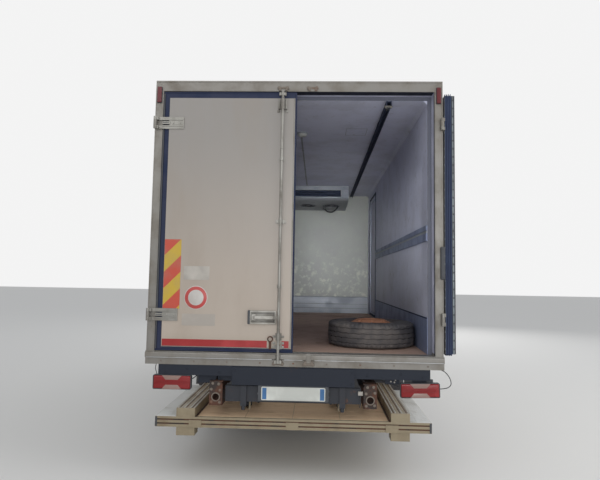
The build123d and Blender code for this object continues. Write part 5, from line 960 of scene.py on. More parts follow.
def platform_details():
    """Deck ribs, channel tops, boards, black end caps and gussets of the tail lift's platform. Boards, side decks and
    channel ribs are coloured lighter as painted light; dark strips paint shade in the grooves and at the channels'
    feet.
    """
    lo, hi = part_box("platform")
    rear, fore = REAR + 0.002, hi.y
    under = DECK - DECK_THICK
    body = "platform"
    caps = plate("left", (rear + 0.001, rear + 0.105), (under + 0.001, DECK - 0.001), lo.x, 0.002, 0.004, 0.001)
    tips = plate("rear", (lo.x + 0.001, lo.x + 0.017), (under + 0.002, DECK - 0.002), rear, 0.0018, 0.003, 0.001)
    make("platform_end_caps", (caps + tips).both(), "plastic_grey", body)
    # Dark strips along the grooves of the platform's rear face: painted shade.
    lines = gather(*[plate("rear", (-1.149, 1.149), (under + dz, under + dz + 0.012), rear + 0.004, 0.0015, 0.002,
                           0.0005) for dz in (0.022, 0.055)])
    make("platform_rear_groove_painted_shade", lines, "rust_steel", body)
    # Side deck ribs and skin in a pale grey, brightened as painted light.
    rib = plate("top", (0.979, 0.982), (rear + 0.012, fore - 0.012), DECK, 0.0025, 0.001, 0.0008)
    ribs = rib.copies(row((0, 0, 0), (0.160, 0, 0), 14)).both()
    bright = plate("top", (1.030, 1.034), (rear + 0.012, fore - 0.012), DECK, 0.004, 0.001, 0.001).both()
    skin = plate("top", (0.975, 1.148), (rear + 0.003, fore - 0.004), DECK - 0.0005, 0.0015, 0.002, 0.0005).both()
    make("platform_side_decks", ribs + bright + skin, DECK_PALE_PAINTED_LIGHT, body)
    top = DECK + CHANNEL_HEIGHT
    # Channel ribs in the same pale grey: painted light on their tops.
    groove = plate("top", (0.824, 0.829), (rear + 0.02, fore - 0.02), top, 0.004, 0.001, 0.001)
    grooves = groove.copies([(dx, 0, 0) for dx in (0.0, 0.030, 0.082, 0.137)]).both()
    make("platform_channel_ribs", grooves, DECK_PALE_PAINTED_LIGHT, body)
    # Dark strips between the channel ribs and along the channels' feet: painted shade.
    dark = plate("top", (0.838, 0.845), (rear + 0.02, fore - 0.02), top, 0.0015, 0.001, 0.0005)
    dark = dark.copies([(0, 0, 0), (0.052, 0, 0), (0.105, 0, 0)]).both()
    inner = plate("top", (0.800, 0.816), (rear + 0.004, fore - 0.02), DECK, 0.001, 0.001, 0.0004).both()
    make("platform_groove_painted_shade", dark + inner, "rust_steel", body)
    # Boards in a lighter brown than the floor: painted light on a deck that lies in shade.
    plank = plate("top", (-0.795, -0.400), (rear + 0.035, rear + 0.165), DECK, 0.0015, 0.001, 0.0008)
    spots = [(0.3985 * i, 0.135 * j, 0) for i in range(4) for j in range(8)]
    make("platform_boards", plank.copies(spots), DECK_BROWN_PAINTED_LIGHT, body, "floor_brown")
    corners = [(-rear - 0.128, 0.356), (-rear - 0.128, under - 0.001), (-rear - 0.300, under - 0.001),
               (-rear - 0.138, 0.372)]
    gusset = layered(corners, ((0, 0), (0, 0.006)), "left", (-0.822, 0, 0))
    make("platform_gussets", (gusset + gusset.moved(x=-0.141)).both(), "plastic_grey", body)


def under_rear():
    """What hangs under the rear beam: dark bracket, pale box with its hose, bolt rings and screws of the plates."""
    bracket = layered([(-0.806, 0.784), (-0.668, 0.784), (-0.642, 0.852), (-0.806, 0.852)],
                      ((0, 0), (0, 0.010), (0.002, 0.012)), "rear", (0, REAR + 0.055, 0))
    lid = plate("rear", (-0.640, -0.520), (0.806, 0.850), REAR + 0.060, 0.012, 0.006)
    make("dark_bracket", bracket + lid, "beam_navy")
    box = plate("rear", (0.545, 0.585), (0.716, 0.748), REAR + 0.030, 0.020, 0.004)
    make("pale_box", box, LABEL_WHITE)
    hose = lead([(0.566, REAR + 0.02, 0.718), (0.564, REAR + 0.02, 0.690), (0.568, REAR + 0.03, 0.650),
                 (0.562, REAR + 0.04, 0.612)], 0.004)
    make("box_hose", hose, "plastic_grey")
    rings = gather(*[spun([(-0.004, 0.029), (-0.004, 0.036), (-0.001, 0.038), (0.002, 0.038), (0.002, 0.029)],
                          (x, REAR - 0.001, 0.680), "y", 32) for x in (-0.645, 0.645)])
    spots = ((0.612, 0.636), (0.680, 0.640), (0.610, 0.735), (0.683, 0.742), (0.622, 0.786), (0.672, 0.790))
    heads = bolts("rear", [(side * x, REAR - 0.001, z) for side in (-1, 1) for x, z in spots], 0.009, 0.007)
    make("end_plate_rings", rings + heads, CAST_BROWN)
    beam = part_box("rear_beam")[0]
    dots = bolts("rear", [(x, REAR + 0.004, z) for side in (-1, 1) for x, z in
                          ((side * 0.90, 0.900), (side * 0.62, 0.880), (side * 1.08, 0.875))], 0.007, 0.006)
    white = layered(ring(0.007, 10), ((0, 0), (0, 0.004), (0.003, 0.006)), "rear").copies(
        [(0.820, REAR + 0.044, 0.832), (0.850, REAR + 0.044, 0.826), (0.858, REAR + 0.044, 0.846)])
    cover = bolts("rear", [(x, beam.y, z) for x in (-0.49, 0.49) for z in (0.810, 0.900)], 0.007, 0.005)
    make("beam_screws", dots + cover, "beam_navy")
    make("bracket_screws", white, LABEL_WHITE)
    plate_back = plate("rear", (0.770, 0.892), (0.808, 0.851), REAR + 0.058, 0.012, 0.004)
    make("right_bracket", plate_back, "beam_navy")


def interior():
    """Linings of the load space: corner profiles, kick ridges, side door frame, lamp, conduit and patch."""
    corner = np.array([(0, 0), (0.030, 0), (0.030, -0.004), (0.004, -0.030), (0, -0.030)])
    run = carried(corner[::-1], [(-INNER, FRONT_INNER, CEILING), (-INNER, REAR + 0.13, CEILING)])
    make("ceiling_corners", run.both(), "panel_white")
    upright = gather(
        plate("rear", (INNER - 0.026, INNER), (FLOOR + 0.312, CEILING), FRONT_INNER, 0.005, 0.004),
        plate("left", (FRONT_INNER - 0.026, FRONT_INNER), (FLOOR + 0.02, CEILING), INNER, 0.005, 0.004),
    ).both()
    make("front_corners", upright, "panel_white")
    kick_face = FRONT_INNER - 0.006
    across = (-INNER + 0.012, INNER - 0.012)
    ridge = plate("rear", across, (FLOOR + 0.088, FLOOR + 0.094), kick_face, 0.005, 0.002, 0.001)
    make("kick_ridges", ridge.copies([(0, 0, 0), (0, 0, 0.080), (0, 0, 0.212)]), "plastic_grey")
    band = plate("rear", across, (FLOOR + 0.098, FLOOR + 0.162), kick_face, 0.003, 0.002, 0.001)
    make("kick_bands", band + band.moved(z=-0.072), "kick_aluminium")
    door = SIDE_DOORWAY
    frame_bar = np.array([(0, 0), (0.036, 0), (0.036, 0.005), (0.028, 0.010), (0.004, 0.010), (0, 0.006)])
    seen = border("left", (door[0] - 0.040, door[1] + 0.006), (FLOOR + 0.012, FLOOR + 2.094), INNER, frame_bar)
    make("side_door_frame", seen, "seal_navy")
    leaf = border("left", (door[0] + 0.03, door[1] - 0.03), (FLOOR + 0.06, FLOOR + 2.02), INNER + 0.015,
                  frame_bar * (0.5, 0.4))
    make("side_door_inner_bead", leaf, "kick_aluminium", "side_door")
    lamp_y = REAR + 1.145
    lamp = (0.005, lamp_y, CEILING)
    dish = layered(ring(0.060, 32), ((0, 0), (0, 0.012), (0.004, 0.016), (0.008, 0.017)), "under", lamp)
    make("ceiling_lamp_base", dish, "interior_grey")
    bowl = layered(ring(0.052, 32), ((0, 0.016), (0.004, 0.030), (0.014, 0.038), (0.028, 0.042)), "under", lamp)
    make("ceiling_lamp_bowl", bowl, PLATE_WHITE)
    conduit = carried(round_box((-0.009, 0.009), (-0.004, 0.004), 0.002, 2),
                      [(-0.010, lamp_y + 0.055, CEILING - 0.004), (-0.010, 0.690, CEILING - 0.004)])
    clips = plate("under", (-0.022, 0.002), (lamp_y + 0.2, lamp_y + 0.22), CEILING, 0.010, 0.002).copies(
        row((0, 0, 0), (0, 2.7, 0), 6))
    make("ceiling_conduit", conduit + clips, "interior_grey")
    patch = border("under", (0.475, 0.700), (REAR + 0.97, REAR + 1.22), CEILING, bead(0.006, 0.001, 0.0015, 0.0005))
    make("ceiling_patch", patch, "interior_grey")
    lines = plate("left", (REAR + 0.14, door[0] - 0.05), (FLOOR + 1.046, FLOOR + 1.064), INNER, 0.011, 0.003, 0.001)
    make("rub_rail_gap", lines, "interior_grey")
    strip = plate("left", (REAR + 0.14, door[0] - 0.04), (FLOOR + 0.300, FLOOR + 0.312), INNER - 0.004, 0.005, 0.002)
    make("kick_top_edge", strip, "seal_navy")


def fan_unit():
    """The cooling blower under the ceiling: bright rims, outlet vanes, end caps, fan guards and a hanging lead."""
    lo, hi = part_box("evaporator")
    face, under = lo.y, lo.z
    top = plate("rear", (lo.x + 0.004, hi.x - 0.004), (CEILING - 0.066, CEILING - 0.012), face, 0.010, 0.006, 0.003)
    low = plate("rear", (-0.575, 0.575), (CEILING - 0.209, CEILING - 0.190), face, 0.007, 0.004, 0.002)
    ends = plate("rear", (0.578, 0.698), (CEILING - 0.209, CEILING - 0.070), face, 0.008, 0.016, 0.004).both()
    make("blower_rims", top + low + ends, "kick_aluminium")
    vane = plate("rear", (-0.568, 0.568), (CEILING - 0.178, CEILING - 0.1755), face + 0.070, 0.060, 0.001, 0.0008)
    back = plate("rear", (-0.569, 0.569), (CEILING - 0.184, CEILING - 0.076), face + 0.079, 0.004, 0.002, 0.001)
    sills = plate("rear", (-0.569, 0.569), (CEILING - 0.1855, CEILING - 0.1835), face + 0.078, 0.077, 0.0008, 0.0004)
    throat = back + sills + sills.moved(z=0.1095) + vane.copies(row((0, 0, 0.030), (0, 0, 0.066), 2))
    make("blower_throat", throat, "seal_navy")
    guard_z = CEILING - 0.256
    wire = gather(*[spun(ring(0.003, 6, 0.0, radius)[::-1], (0, 0, 0), "z", 40)
                    for radius in (0.045, 0.080, 0.115, 0.148)])
    spokes = gather(*[carried(ring(0.003, 6), [(0.045 * c, 0.045 * s, 0), (0.150 * c, 0.150 * s, 0)])
                      for c, s in [(math.cos(a), math.sin(a)) for a in np.radians([30, 90, 150, 210, 270, 330])]])
    guards = (wire + spokes).copies([(x, FAN_Y, guard_z) for x in FAN_X])
    make("fan_guards", guards, "plastic_grey")
    blade = np.array([(0.045, -0.010), (0.135, -0.045), (0.140, 0.030), (0.050, 0.020)])
    turns = [np.array([[math.cos(a), math.sin(a)], [-math.sin(a), math.cos(a)]])
             for a in np.radians([0, 72, 144, 216, 288])]
    blades = gather(*[layered(blade @ turn, ((0, 0), (0, 0.004)), "under") for turn in turns])
    fans = blades.copies([(x, FAN_Y, CEILING - 0.236) for x in FAN_X])
    make("fan_blades", fans, "plastic_grey")
    y = face + 0.565
    course = ((0.300, 0.020), (0.302, -0.030), (0.345, -0.080), (0.425, -0.094), (0.500, -0.050), (0.547, 0.018))
    hang = lead([(x, y, under + dz) for x, dz in course], 0.014, (0, 1, 0.03))
    plug = layered(round_box((0.268, 0.332), (-y - 0.030, -y + 0.030), 0.010), ((0, 0), (0, 0.050), (0.006, 0.058)),
                   "under", (0, 0, under + 0.018))
    make("blower_lead", hang + plug, CABLE_BLACK)


def rail_ends():
    """Clamps and screws that close the ceiling rails."""
    lo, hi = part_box("ceiling_rails")
    clamp = plate("under", (hi.x - 0.060, hi.x + 0.012), (lo.y + 0.012, lo.y + 0.050), lo.z, 0.006, 0.004)
    knobs = bolts("under", [(hi.x - 0.046, lo.y + 0.030, lo.z - 0.006), (hi.x - 0.002, lo.y + 0.030, lo.z - 0.006)],
                  0.008, 0.010)
    make("rail_clamps", (clamp + knobs).both(), "gear_steel")
    grip = plate("under", (hi.x - 0.040, hi.x - 0.008), (lo.y + 0.055, lo.y + 0.105), lo.z, 0.012, 0.006)
    make("rail_stops", grip.both(), "plastic_grey")


# Cab skin, level by level: height, half width, front, bow of the front
CAB_SKIN = np.array([
    (0.800, CAB_HALF - 0.005, CAB_FRONT, 0.045),
    (1.500, CAB_HALF, CAB_FRONT - 0.005, 0.055),
    (2.380, CAB_HALF - 0.050, CAB_FRONT - 0.195, 0.070),
    (2.480, CAB_HALF - 0.090, CAB_FRONT - 0.265, 0.070),
    (2.560, CAB_HALF - 0.250, CAB_FRONT - 0.505, 0.060),
])


def cab_front(x, z, proud=0.0):
    """Points on the bowed front of the cab: a circle's arc at each height, between the skin's levels."""
    x, z = np.broadcast_arrays(np.asarray(x, float), np.asarray(z, float))
    half, front, bow = (np.interp(z, CAB_SKIN[:, 0], CAB_SKIN[:, k]) for k in (1, 2, 3))
    radius = (half**2 + bow**2) / (2 * bow)
    return np.stack([x, front - radius + np.sqrt(radius**2 - x**2) + proud, z], axis=-1)


def cab_side(y, z, proud=0.0):
    """Points on the left flank of the cab, between the skin's levels."""
    y, z = np.broadcast_arrays(np.asarray(y, float), np.asarray(z, float))
    return np.stack([-np.interp(z, CAB_SKIN[:, 0], CAB_SKIN[:, 1]) - proud, y, z], axis=-1)


def traced(corners, rounding, step=0.05, steps=6):
    """A closed path round an outline of straight runs with rounded corners, cut into short steps."""
    corners = np.asarray(corners, float)
    to_next = np.roll(corners, -1, axis=0) - corners
    to_next /= np.linalg.norm(to_next, axis=1, keepdims=True)
    to_last = -np.roll(to_next, 1, axis=0)
    t = np.linspace(0, 1, steps)[None, :, None]
    start, end = (corners + rounding * way for way in (to_last, to_next))
    bends = (1 - t)**2 * start[:, None] + 2 * t * (1 - t) * corners[:, None] + t**2 * end[:, None]
    length = np.linalg.norm(np.roll(corners, -1, axis=0) - corners, axis=1).max()
    t = np.linspace(0, 1, int(length / step))[1:-1][None, :, None]
    runs = (1 - t) * end[:, None] + t * np.roll(start, -1, axis=0)[:, None]
    return np.concatenate([bends, runs], axis=1).reshape(-1, 2)


def window_rubber():
    """Black rubber run round the windscreen, the rear window and the door windows."""
    strip = np.array([(-0.016, -0.004), (0.014, -0.004), (0.014, 0.001), (0.006, 0.006), (-0.010, 0.006),
                      (-0.016, 0.001)])
    foot, head = CAB_HALF - 0.110, CAB_HALF - 0.175
    screen = traced([(-foot, 1.570), (foot, 1.570), (head, 2.350), (-head, 2.350)], 0.06)[::-1]
    front = carried(strip, cab_front(screen[:, 0], screen[:, 1]), (0, 1, 0.22), loop=True)
    back = border("rear", (-0.480, 0.480), (1.700, 2.200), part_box("cab_shell")[0].y, strip)
    make("window_beads", front + back, "plastic_grey", "cab")
    near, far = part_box("door_glass_left")[0].y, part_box("door_glass_left")[1].y
    window = traced([(near, 1.560), (far, 1.560), (far - 0.134, 2.285), (near, 2.285)], 0.06)[::-1]
    left = carried(strip * (0.8, 0.8), cab_side(window[:, 0], window[:, 1]), (-1, 0, 0.06), loop=True)
    make("door_window_bead_left", left, "plastic_grey", "cab_door_left")
    make("door_window_bead_right", left.mirrored(), "plastic_grey", "cab_door_right")


def wipers():
    """Two wipers at rest on the windscreen's foot: a flat arm on a capped spindle, and a blade."""
    edge = [(-0.004, -0.016), (0.004, -0.016), (0.006, 0.0), (0.002, 0.008), (-0.002, 0.008), (-0.006, 0.0)]
    total = []
    for start in (-0.880, -0.050):
        x = np.array([start, start + 0.20, start + 0.44])
        arm = carried(round_box((-0.009, 0.009), (-0.004, 0.004), 0.002, 1),
                      cab_front(x, np.array([1.500, 1.560, 1.612]), 0.022), (0, 1, 0.2))
        x = np.linspace(start + 0.16, start + 0.78, 12)
        z = np.linspace(1.600, 1.628, 12)
        blade = carried(edge, cab_front(x, z, 0.020), (0, 1, 0.2))
        spindle = layered(ring(0.019, 16), ((0, 0), (0, 0.022), (0.006, 0.028)), "front",
                          cab_front(start, 1.500, 0.0))
        total += [arm, blade, spindle]
    make("wipers", gather(*total), "plastic_grey", "cab")


def grille():
    """The upright mesh bars behind the slots in the cab's front, and the lips of the slots."""
    bar = plate("front", (-0.0025, 0.0025), (0.920, 1.365), 0.0, 0.006, 0.001, 0.001)
    places = cab_front(np.linspace(-0.628, 0.628, 52), 1.15, -0.042) * (1, 1, 0)
    bars = bar.copies(places)
    lip = carried(np.array([(-0.003, -0.004), (0.003, -0.004), (0.003, 0.006), (-0.003, 0.006)]),
                  cab_front(np.linspace(-0.638, 0.638, 25), 0.928, -0.002), (0, 0, 1))
    lips = lip.copies(row((0, 0, 0), (0, 0, 0.380), 5))
    make("grille_mesh", bars, "plastic_grey", "cab")
    make("grille_lips", lips, "plastic_grey", "cab")


def head_lamps():
    """Head lamps sunk in the bumper: dark tray, two bright bowls, amber corner and a ribbed clear cover."""
    x0, x1 = CAB_HALF - 0.340, CAB_HALF - 0.070
    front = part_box("bumper")[1].y
    tray = plate("front", (x0 + 0.003, x1 - 0.003), (0.503, 0.657), front - 0.070, 0.012, 0.010).both()
    make("head_lamp_trays", tray, "plastic_grey")
    bowls = gather(*[
        layered(ring(radius, 32), ((0, 0.012), (0, 0.050), (0.004, 0.052), (0.010, 0.046), (radius * 0.6, 0.026),
                                   (radius * 0.75, 0.024)), "front", (x, front - 0.070, 0.580))
        for x, radius in ((x0 + 0.068, 0.056), (x0 + 0.170, 0.040))]).both()
    make("head_lamp_bowls", bowls, "tank_aluminium")
    amber = plate("front", (x1 - 0.060, x1 - 0.008), (0.512, 0.648), front - 0.058, 0.046, 0.014, 0.004).both()
    make("indicator_lenses", amber, AMBER)
    cover = plate("front", (x0 + 0.004, x1 - 0.004), (0.504, 0.656), front - 0.012, 0.008, 0.012, 0.003)
    ribs = plate("front", (x0 + 0.012, x0 + 0.015), (0.512, 0.648), front - 0.004, 0.0012, 0.001, 0.0006)
    glass = (cover + ribs.copies(row((0, 0, 0), (0.240, 0, 0), 16))).both()
    cover_piece = make("head_lamp_covers", glass, HEAD_GLASS, slot="glass")
    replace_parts(cover_piece, "lamps")


def cab_fittings():
    """Mirror glass and rims, door handle cups, ribs of the steps, bumper screws and the blank front plate."""
    mirror_y = CAB_FRONT - 0.195
    glass = plate("rear", (CAB_HALF + 0.102, CAB_HALF + 0.288), (1.734, 2.106), mirror_y, 0.003, 0.020, 0.001)
    make("mirror_glass", glass.both(), MIRROR, "cab")
    rim = border("rear", (CAB_HALF + 0.096, CAB_HALF + 0.294), (1.727, 2.113), mirror_y,
                 [(0, -0.001), (0.007, -0.001), (0.005, 0.006), (0.001, 0.006)]).both()
    make("mirror_rims", rim, "plastic_grey", "cab")
    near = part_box("cab_door_left")[0].y
    cup = layered(round_box((near + 0.052, near + 0.225), (1.355, 1.440), 0.020),
                  ((0, -0.004), (0, 0.002), (0.003, 0.004)), "right", (CAB_HALF - 0.001, 0, 0))
    make("handle_cup_right", cup, "plastic_grey", "cab_door_right")
    make("handle_cup_left", cup.mirrored(), "plastic_grey", "cab_door_left")
    step_y = (AXLES[0] + 0.560, CAB_FRONT - 0.260)
    rib = plate("top", (CAB_HALF - 0.190, CAB_HALF - 0.012), (step_y[0], step_y[0] + 0.006), 0.620, 0.008, 0.001, 0.001)
    ribs = rib.copies(row((0, 0, 0), (0, step_y[1] - step_y[0] - 0.006, 0), 18))
    make("step_ribs", (ribs + ribs.moved(z=-0.175)).both(), "tank_aluminium")
    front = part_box("bumper")[1].y
    screws = bolts("front", row((-0.66, front, 0.740), (0.66, front, 0.740), 5), 0.010, 0.003)
    plate_rest = plate("front", (-0.260, 0.260), (0.545, 0.655), front, 0.0015, 0.008, 0.0005)
    make("bumper_screws", screws + plate_rest, "plastic_grey")
    board = plate("front", (-0.255, 0.255), (0.550, 0.650), front + 0.0015, 0.0015, 0.008, 0.0005)
    make("front_number_plate", board, PLATE_WHITE)


def body_sides():
    """Rivet rows, amber side lamps, the side door's rubber, and trims at the body's front corners and top."""
    low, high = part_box("floor")[0].z + 0.020, CEILING - 0.010
    y0, y1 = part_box("wall_left")[0].y + 0.05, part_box("wall_left")[1].y - 0.05
    face = HALF + 0.004
    rows = gather(*[rivets("right", row((face, y0, z), (face, y1, z), 58), 0.0045) for z in (low, low + 0.045, high)])
    make("body_rivets", rows.both(), "tank_aluminium")
    lamp = plate("right", (-0.045, 0.045), (low + 0.002, low + 0.042), face, 0.016, 0.008, 0.004)
    lamp = lamp.copies([(0, y, 0) for y in (-3.20, -0.30, 1.60)])
    make("side_lamps", lamp.both(), AMBER)
    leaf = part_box("side_door")
    seal = border("right", (leaf[0].y, REAR + 5.036), (leaf[0].z, leaf[1].z), HALF,
                  [(-0.004, -0.001), (0.016, -0.001), (0.014, 0.004), (-0.002, 0.004)])
    make("side_door_rubber", seal, "seal_navy", "side_door")
    corner = plate("right", (y1 + 0.010, y1 + 0.048), (FLOOR - 0.02, CEILING - 0.046), HALF, 0.003, 0.002, 0.001).both()
    make("front_corner_posts", corner, "tank_aluminium")
    cap = plate("front", (0.885, HALF - 0.02), (CEILING - 0.02, CEILING + 0.02), FRONT, 0.003, 0.002, 0.001).both()
    make("front_top_rail", cap, "tank_aluminium")


def cooling_unit_details():
    """Louvre blades and screws of the cooling unit on the front wall."""
    lo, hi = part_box("cooling_unit")
    blade = plate("front", (-0.298, 0.298), (0, 0.004), hi.y - 0.060, 0.040, 0.001, 0.001)
    blades = blade.copies([(x, 0, lo.z + 0.110 + 0.055 * k + 0.012) for x in (-0.43, 0.43) for k in range(5)])
    make("unit_blades", blades, "plastic_grey")
    screws = bolts("front", [(x, hi.y - 0.022, lo.z + 0.085) for x in (-0.70, 0.0, 0.70)], 0.008, 0.004)
    make("unit_screws", screws, "gear_steel")


def wheel_fittings():
    """Wheel nuts in a circle and a domed cap on each hub."""
    spots = {"wheel_front_left": (AXLES[0], 1.073, 0.022), "wheels_rear_left": (AXLES[1], 0.928, 0.120)}
    circle = 0.110
    angles = np.linspace(0, 2 * math.pi, 8, endpoint=False) + math.pi / 8
    for body, (axle, face, reach) in spots.items():
        nut = layered(ring(0.0165, 6), ((0, 0), (0, 0.020), (0.002, 0.022)), "left")
        washer = layered(ring(0.021, 16), ((0, 0), (0, 0.005)), "left")
        stud = layered(ring(0.009, 10), ((0, 0.022), (0, 0.034), (0.002, 0.036)), "left")
        places = np.stack([np.full(8, -face), axle + circle * np.cos(angles), TYRE_R + circle * np.sin(angles)], axis=1)
        nuts = (nut + washer + stud).copies(places)
        cap = layered(ring(0.050, 32), ((0, 0), (0, 0.006), (0.006, 0.012), (0.020, 0.018), (0.035, 0.020)), "left",
                      (-face - reach, axle, TYRE_R))
        make("nuts_" + body, nuts + cap, "gear_steel", body)
        other = body.replace("left", "right")
        make("nuts_" + other, (nuts + cap).mirrored(), "gear_steel", other)


def chassis_details():
    """Frame bolts, tank cap and ribbed mud flaps."""
    y = row((0.425, -3.3, 0.835), (0.425, 3.2, 0.835), 27)
    upper = bolts("right", y, 0.011, 0.010)
    lower = bolts("right", y - (0, 0, 0.145), 0.011, 0.010)
    make("frame_bolts", (upper + lower).both(), "chassis_black")
    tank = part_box("fuel_tank")
    cap = layered(ring(0.052, 32, tank[0].x + 0.16, tank[1].y - 0.24),
                  ((0, 0), (0, 0.024), (0.004, 0.030), (0.020, 0.033)), "top", (0, 0, tank[1].z - 0.002))
    make("tank_cap", cap, "plastic_grey")
    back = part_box("wheel_guards")[0].y
    sheet = plate("rear", (0.700, 1.150), (0.230, 0.520), back, 0.008, 0.020, 0.001)
    ribs = plate("rear", (0.720, 1.130), (0.262, 0.268), back - 0.008, 0.004, 0.001, 0.001).copies(
        row((0, 0, 0), (0, 0, 0.20), 5))
    bolts_row = bolts("rear", row((0.740, back - 0.008, 0.495), (1.110, back - 0.008, 0.495), 4), 0.008, 0.006)
    make("mud_flaps", (sheet + ribs + bolts_row).both(), "tyre")


# The seats' rounding, and how finely their outlines are cut
SOFT_EDGE = 0.028
PATH_STEP = 0.03
BEND_STEPS = 5


def cushion(outline, across, rounding=SOFT_EDGE):
    """A soft block: its outline from the side, rounded at the corners, carried across from left to right.
    Its flanks draw in towards both ends by a quarter circle of the rounding."""
    path = traced(outline, rounding, PATH_STEP, BEND_STEPS)
    turn = np.radians(np.linspace(0, 90, BEND_STEPS))
    inset = rounding * (1 - np.sin(turn)) * 0.7
    shift = rounding * (1 - np.cos(turn))
    insets = np.concatenate([inset, inset[::-1]])
    places = np.concatenate([across[0] + shift, across[1] - shift[::-1]])
    return capped(np.array([np.insert(drawn_in(path, i), 0, x, axis=1) for x, i in zip(places, insets)]))


def puffed(name, shape, voxel=0.009, pressure=4.0, frames=20, limit=0.022):
    """A padded piece: the shape is meshed anew and blown up as cloth, and no point moves further than the limit."""
    mesh = bpy.data.meshes.new(name)
    mesh.from_pydata(shape.points.tolist(), [], [corners for group in shape.faces for corners in group.tolist()])
    pad = bpy.data.objects.new(name, mesh)
    scene = bpy.context.scene
    scene.collection.objects.link(pad)
    bpy.context.view_layer.objects.active = pad
    fine = pad.modifiers.new("fine", "REMESH")
    fine.mode = "VOXEL"
    fine.voxel_size = voxel
    bpy.ops.object.modifier_apply(modifier="fine")
    count = len(pad.data.vertices)
    start = np.empty(count * 3)
    pad.data.vertices.foreach_get("co", start)
    cloth = pad.modifiers.new("cloth", "CLOTH")
    settings = cloth.settings
    settings.use_pressure = True
    settings.uniform_pressure_force = pressure
    settings.effector_weights.gravity = 0.0
    cloth.point_cache.frame_start = 1
    cloth.point_cache.frame_end = frames
    for step in range(1, frames + 1):
        scene.frame_set(step)
    shown = pad.evaluated_get(bpy.context.evaluated_depsgraph_get())
    end = np.empty(count * 3)
    shown.data.vertices.foreach_get("co", end)
    way = (end - start).reshape(-1, 3)
    far = np.linalg.norm(way, axis=1, keepdims=True)
    way *= np.minimum(1.0, limit / np.maximum(far, 1e-9))
    pad.modifiers.remove(cloth)
    scene.frame_set(1)
    pad.data.vertices.foreach_set("co", start + way.ravel())
    pad.data.update()
    return pad


def seam(outline, x, inset, thick=0.0045):
    """A sewn cord round a cushion's flank."""
    path = drawn_in(traced(outline, SOFT_EDGE, PATH_STEP, BEND_STEPS), inset)
    return carried(ring(thick, 6), np.insert(path, 0, x, axis=1), (1, 0, 0), loop=True)


def seats():
    """Padded cushions, backs and head rests with corded seams, on plain bases."""
    y = CAB_REAR + 0.345
    lower = [(y - 0.012, 1.352), (y + 0.520, 1.350), (y + 0.514, 1.426), (y + 0.002, 1.414)]
    upper = [(y + 0.004, 1.446), (y + 0.092, 1.450), (y - 0.012, 1.972), (y - 0.086, 1.966), (y - 0.104, 1.508)]
    rest = [(y - 0.086, 2.014), (y - 0.036, 2.014), (y - 0.048, 2.146), (y - 0.090, 2.146)]
    groups = {"driver": [(-0.800, -0.390)], "bench": [(0.390, 0.664), (0.666, 0.940)]}
    for name, places in groups.items():
        middles = [(left + right) / 2 for left, right in places]
        pads = gather(*[cushion(outline, (left + 0.008, right - 0.008)) for left, right in places
                        for outline in (lower, upper)])
        heads = gather(*[cushion(rest, (x - 0.084, x + 0.084), 0.018) for x in middles])
        pad = puffed("seat_pads_" + name, pads + heads)
        pad.data.materials.append(FINISHES["seat_fabric"])
        pad.data.shade_smooth()
        finer = pad.modifiers.new("finer", "SUBSURF")
        finer.levels = 1
        finer.render_levels = 1
        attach(pad, "cab")
        if name == "driver":
            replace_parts(pad, "seats")
    places = [span for spans in groups.values() for span in spans]
    middles = [(left + right) / 2 for left, right in places]
    cords = gather(*[seam(outline, x, -0.002) for left, right in places for x in (left + 0.030, right - 0.030)
                     for outline in (lower, upper)])
    make("seat_cords", cords, "plastic_grey", "cab")
    base = [(y + 0.030, CAB_FLOOR), (y + 0.470, CAB_FLOOR), (y + 0.510, 1.340), (y + 0.010, 1.340)]
    spans = [(-0.760, -0.430), (0.430, 0.900)]
    boxes = gather(*[capped(np.array([np.insert(np.array(base), 0, x, axis=1) for x in span])) for span in spans])
    stems = gather(*[lead([(x + dx, y - 0.060, 1.950), (x + dx, y - 0.062, 1.985), (x + dx, y - 0.064, 2.030)], 0.006)
                     for x in middles for dx in (-0.035, 0.035)])
    make("seat_bases", boxes + stems, "plastic_grey", "cab")


def build_pieces():
    """Every piece of the truck that the frame's own solids don't show."""
    rear_frame_trims()
    header_seal()
    marker_lamps()
    rear_lights()
    number_plate()
    door_signs()
    door_edgings()
    door_hardware()
    keepers()
    post_fittings()
    platform_details()
    under_rear()
    interior()
    fan_unit()
    rail_ends()
    window_rubber()
    wipers()
    grille()
    head_lamps()
    cab_fittings()
    body_sides()
    cooling_unit_details()
    wheel_fittings()
    chassis_details()
    tyres()
    seats()


def camera_matrix():
    """Camera axes from yaw, pitch and roll: forward along +Y at nought."""
    yaw, pitch, roll = (math.radians(a) for a in (CAMERA_YAW, CAMERA_PITCH, CAMERA_ROLL))
    ahead = np.array((math.sin(yaw) * math.cos(pitch), math.cos(yaw) * math.cos(pitch), math.sin(pitch)))
    right = np.array((math.cos(yaw), -math.sin(yaw), 0.0))
    up = np.cross(right, ahead)
    across = math.cos(roll) * right + math.sin(roll) * up
    upright = -math.sin(roll) * right + math.cos(roll) * up
    columns = np.eye(4)
    columns[:3, 0] = across
    columns[:3, 1] = upright
    columns[:3, 2] = -ahead
    columns[:3, 3] = CAMERA_PLACE
    return Matrix(columns.tolist())


def make_camera():
    """A camera at the photographer's place."""
    data = bpy.data.cameras.new("camera")
    data.lens = CAMERA_LENS
    data.sensor_width = 36.0
    data.clip_end = 200.0
    camera = bpy.data.objects.new("camera", data)
    bpy.context.scene.collection.objects.link(camera)
    camera.matrix_world = camera_matrix()
    bpy.context.scene.camera = camera


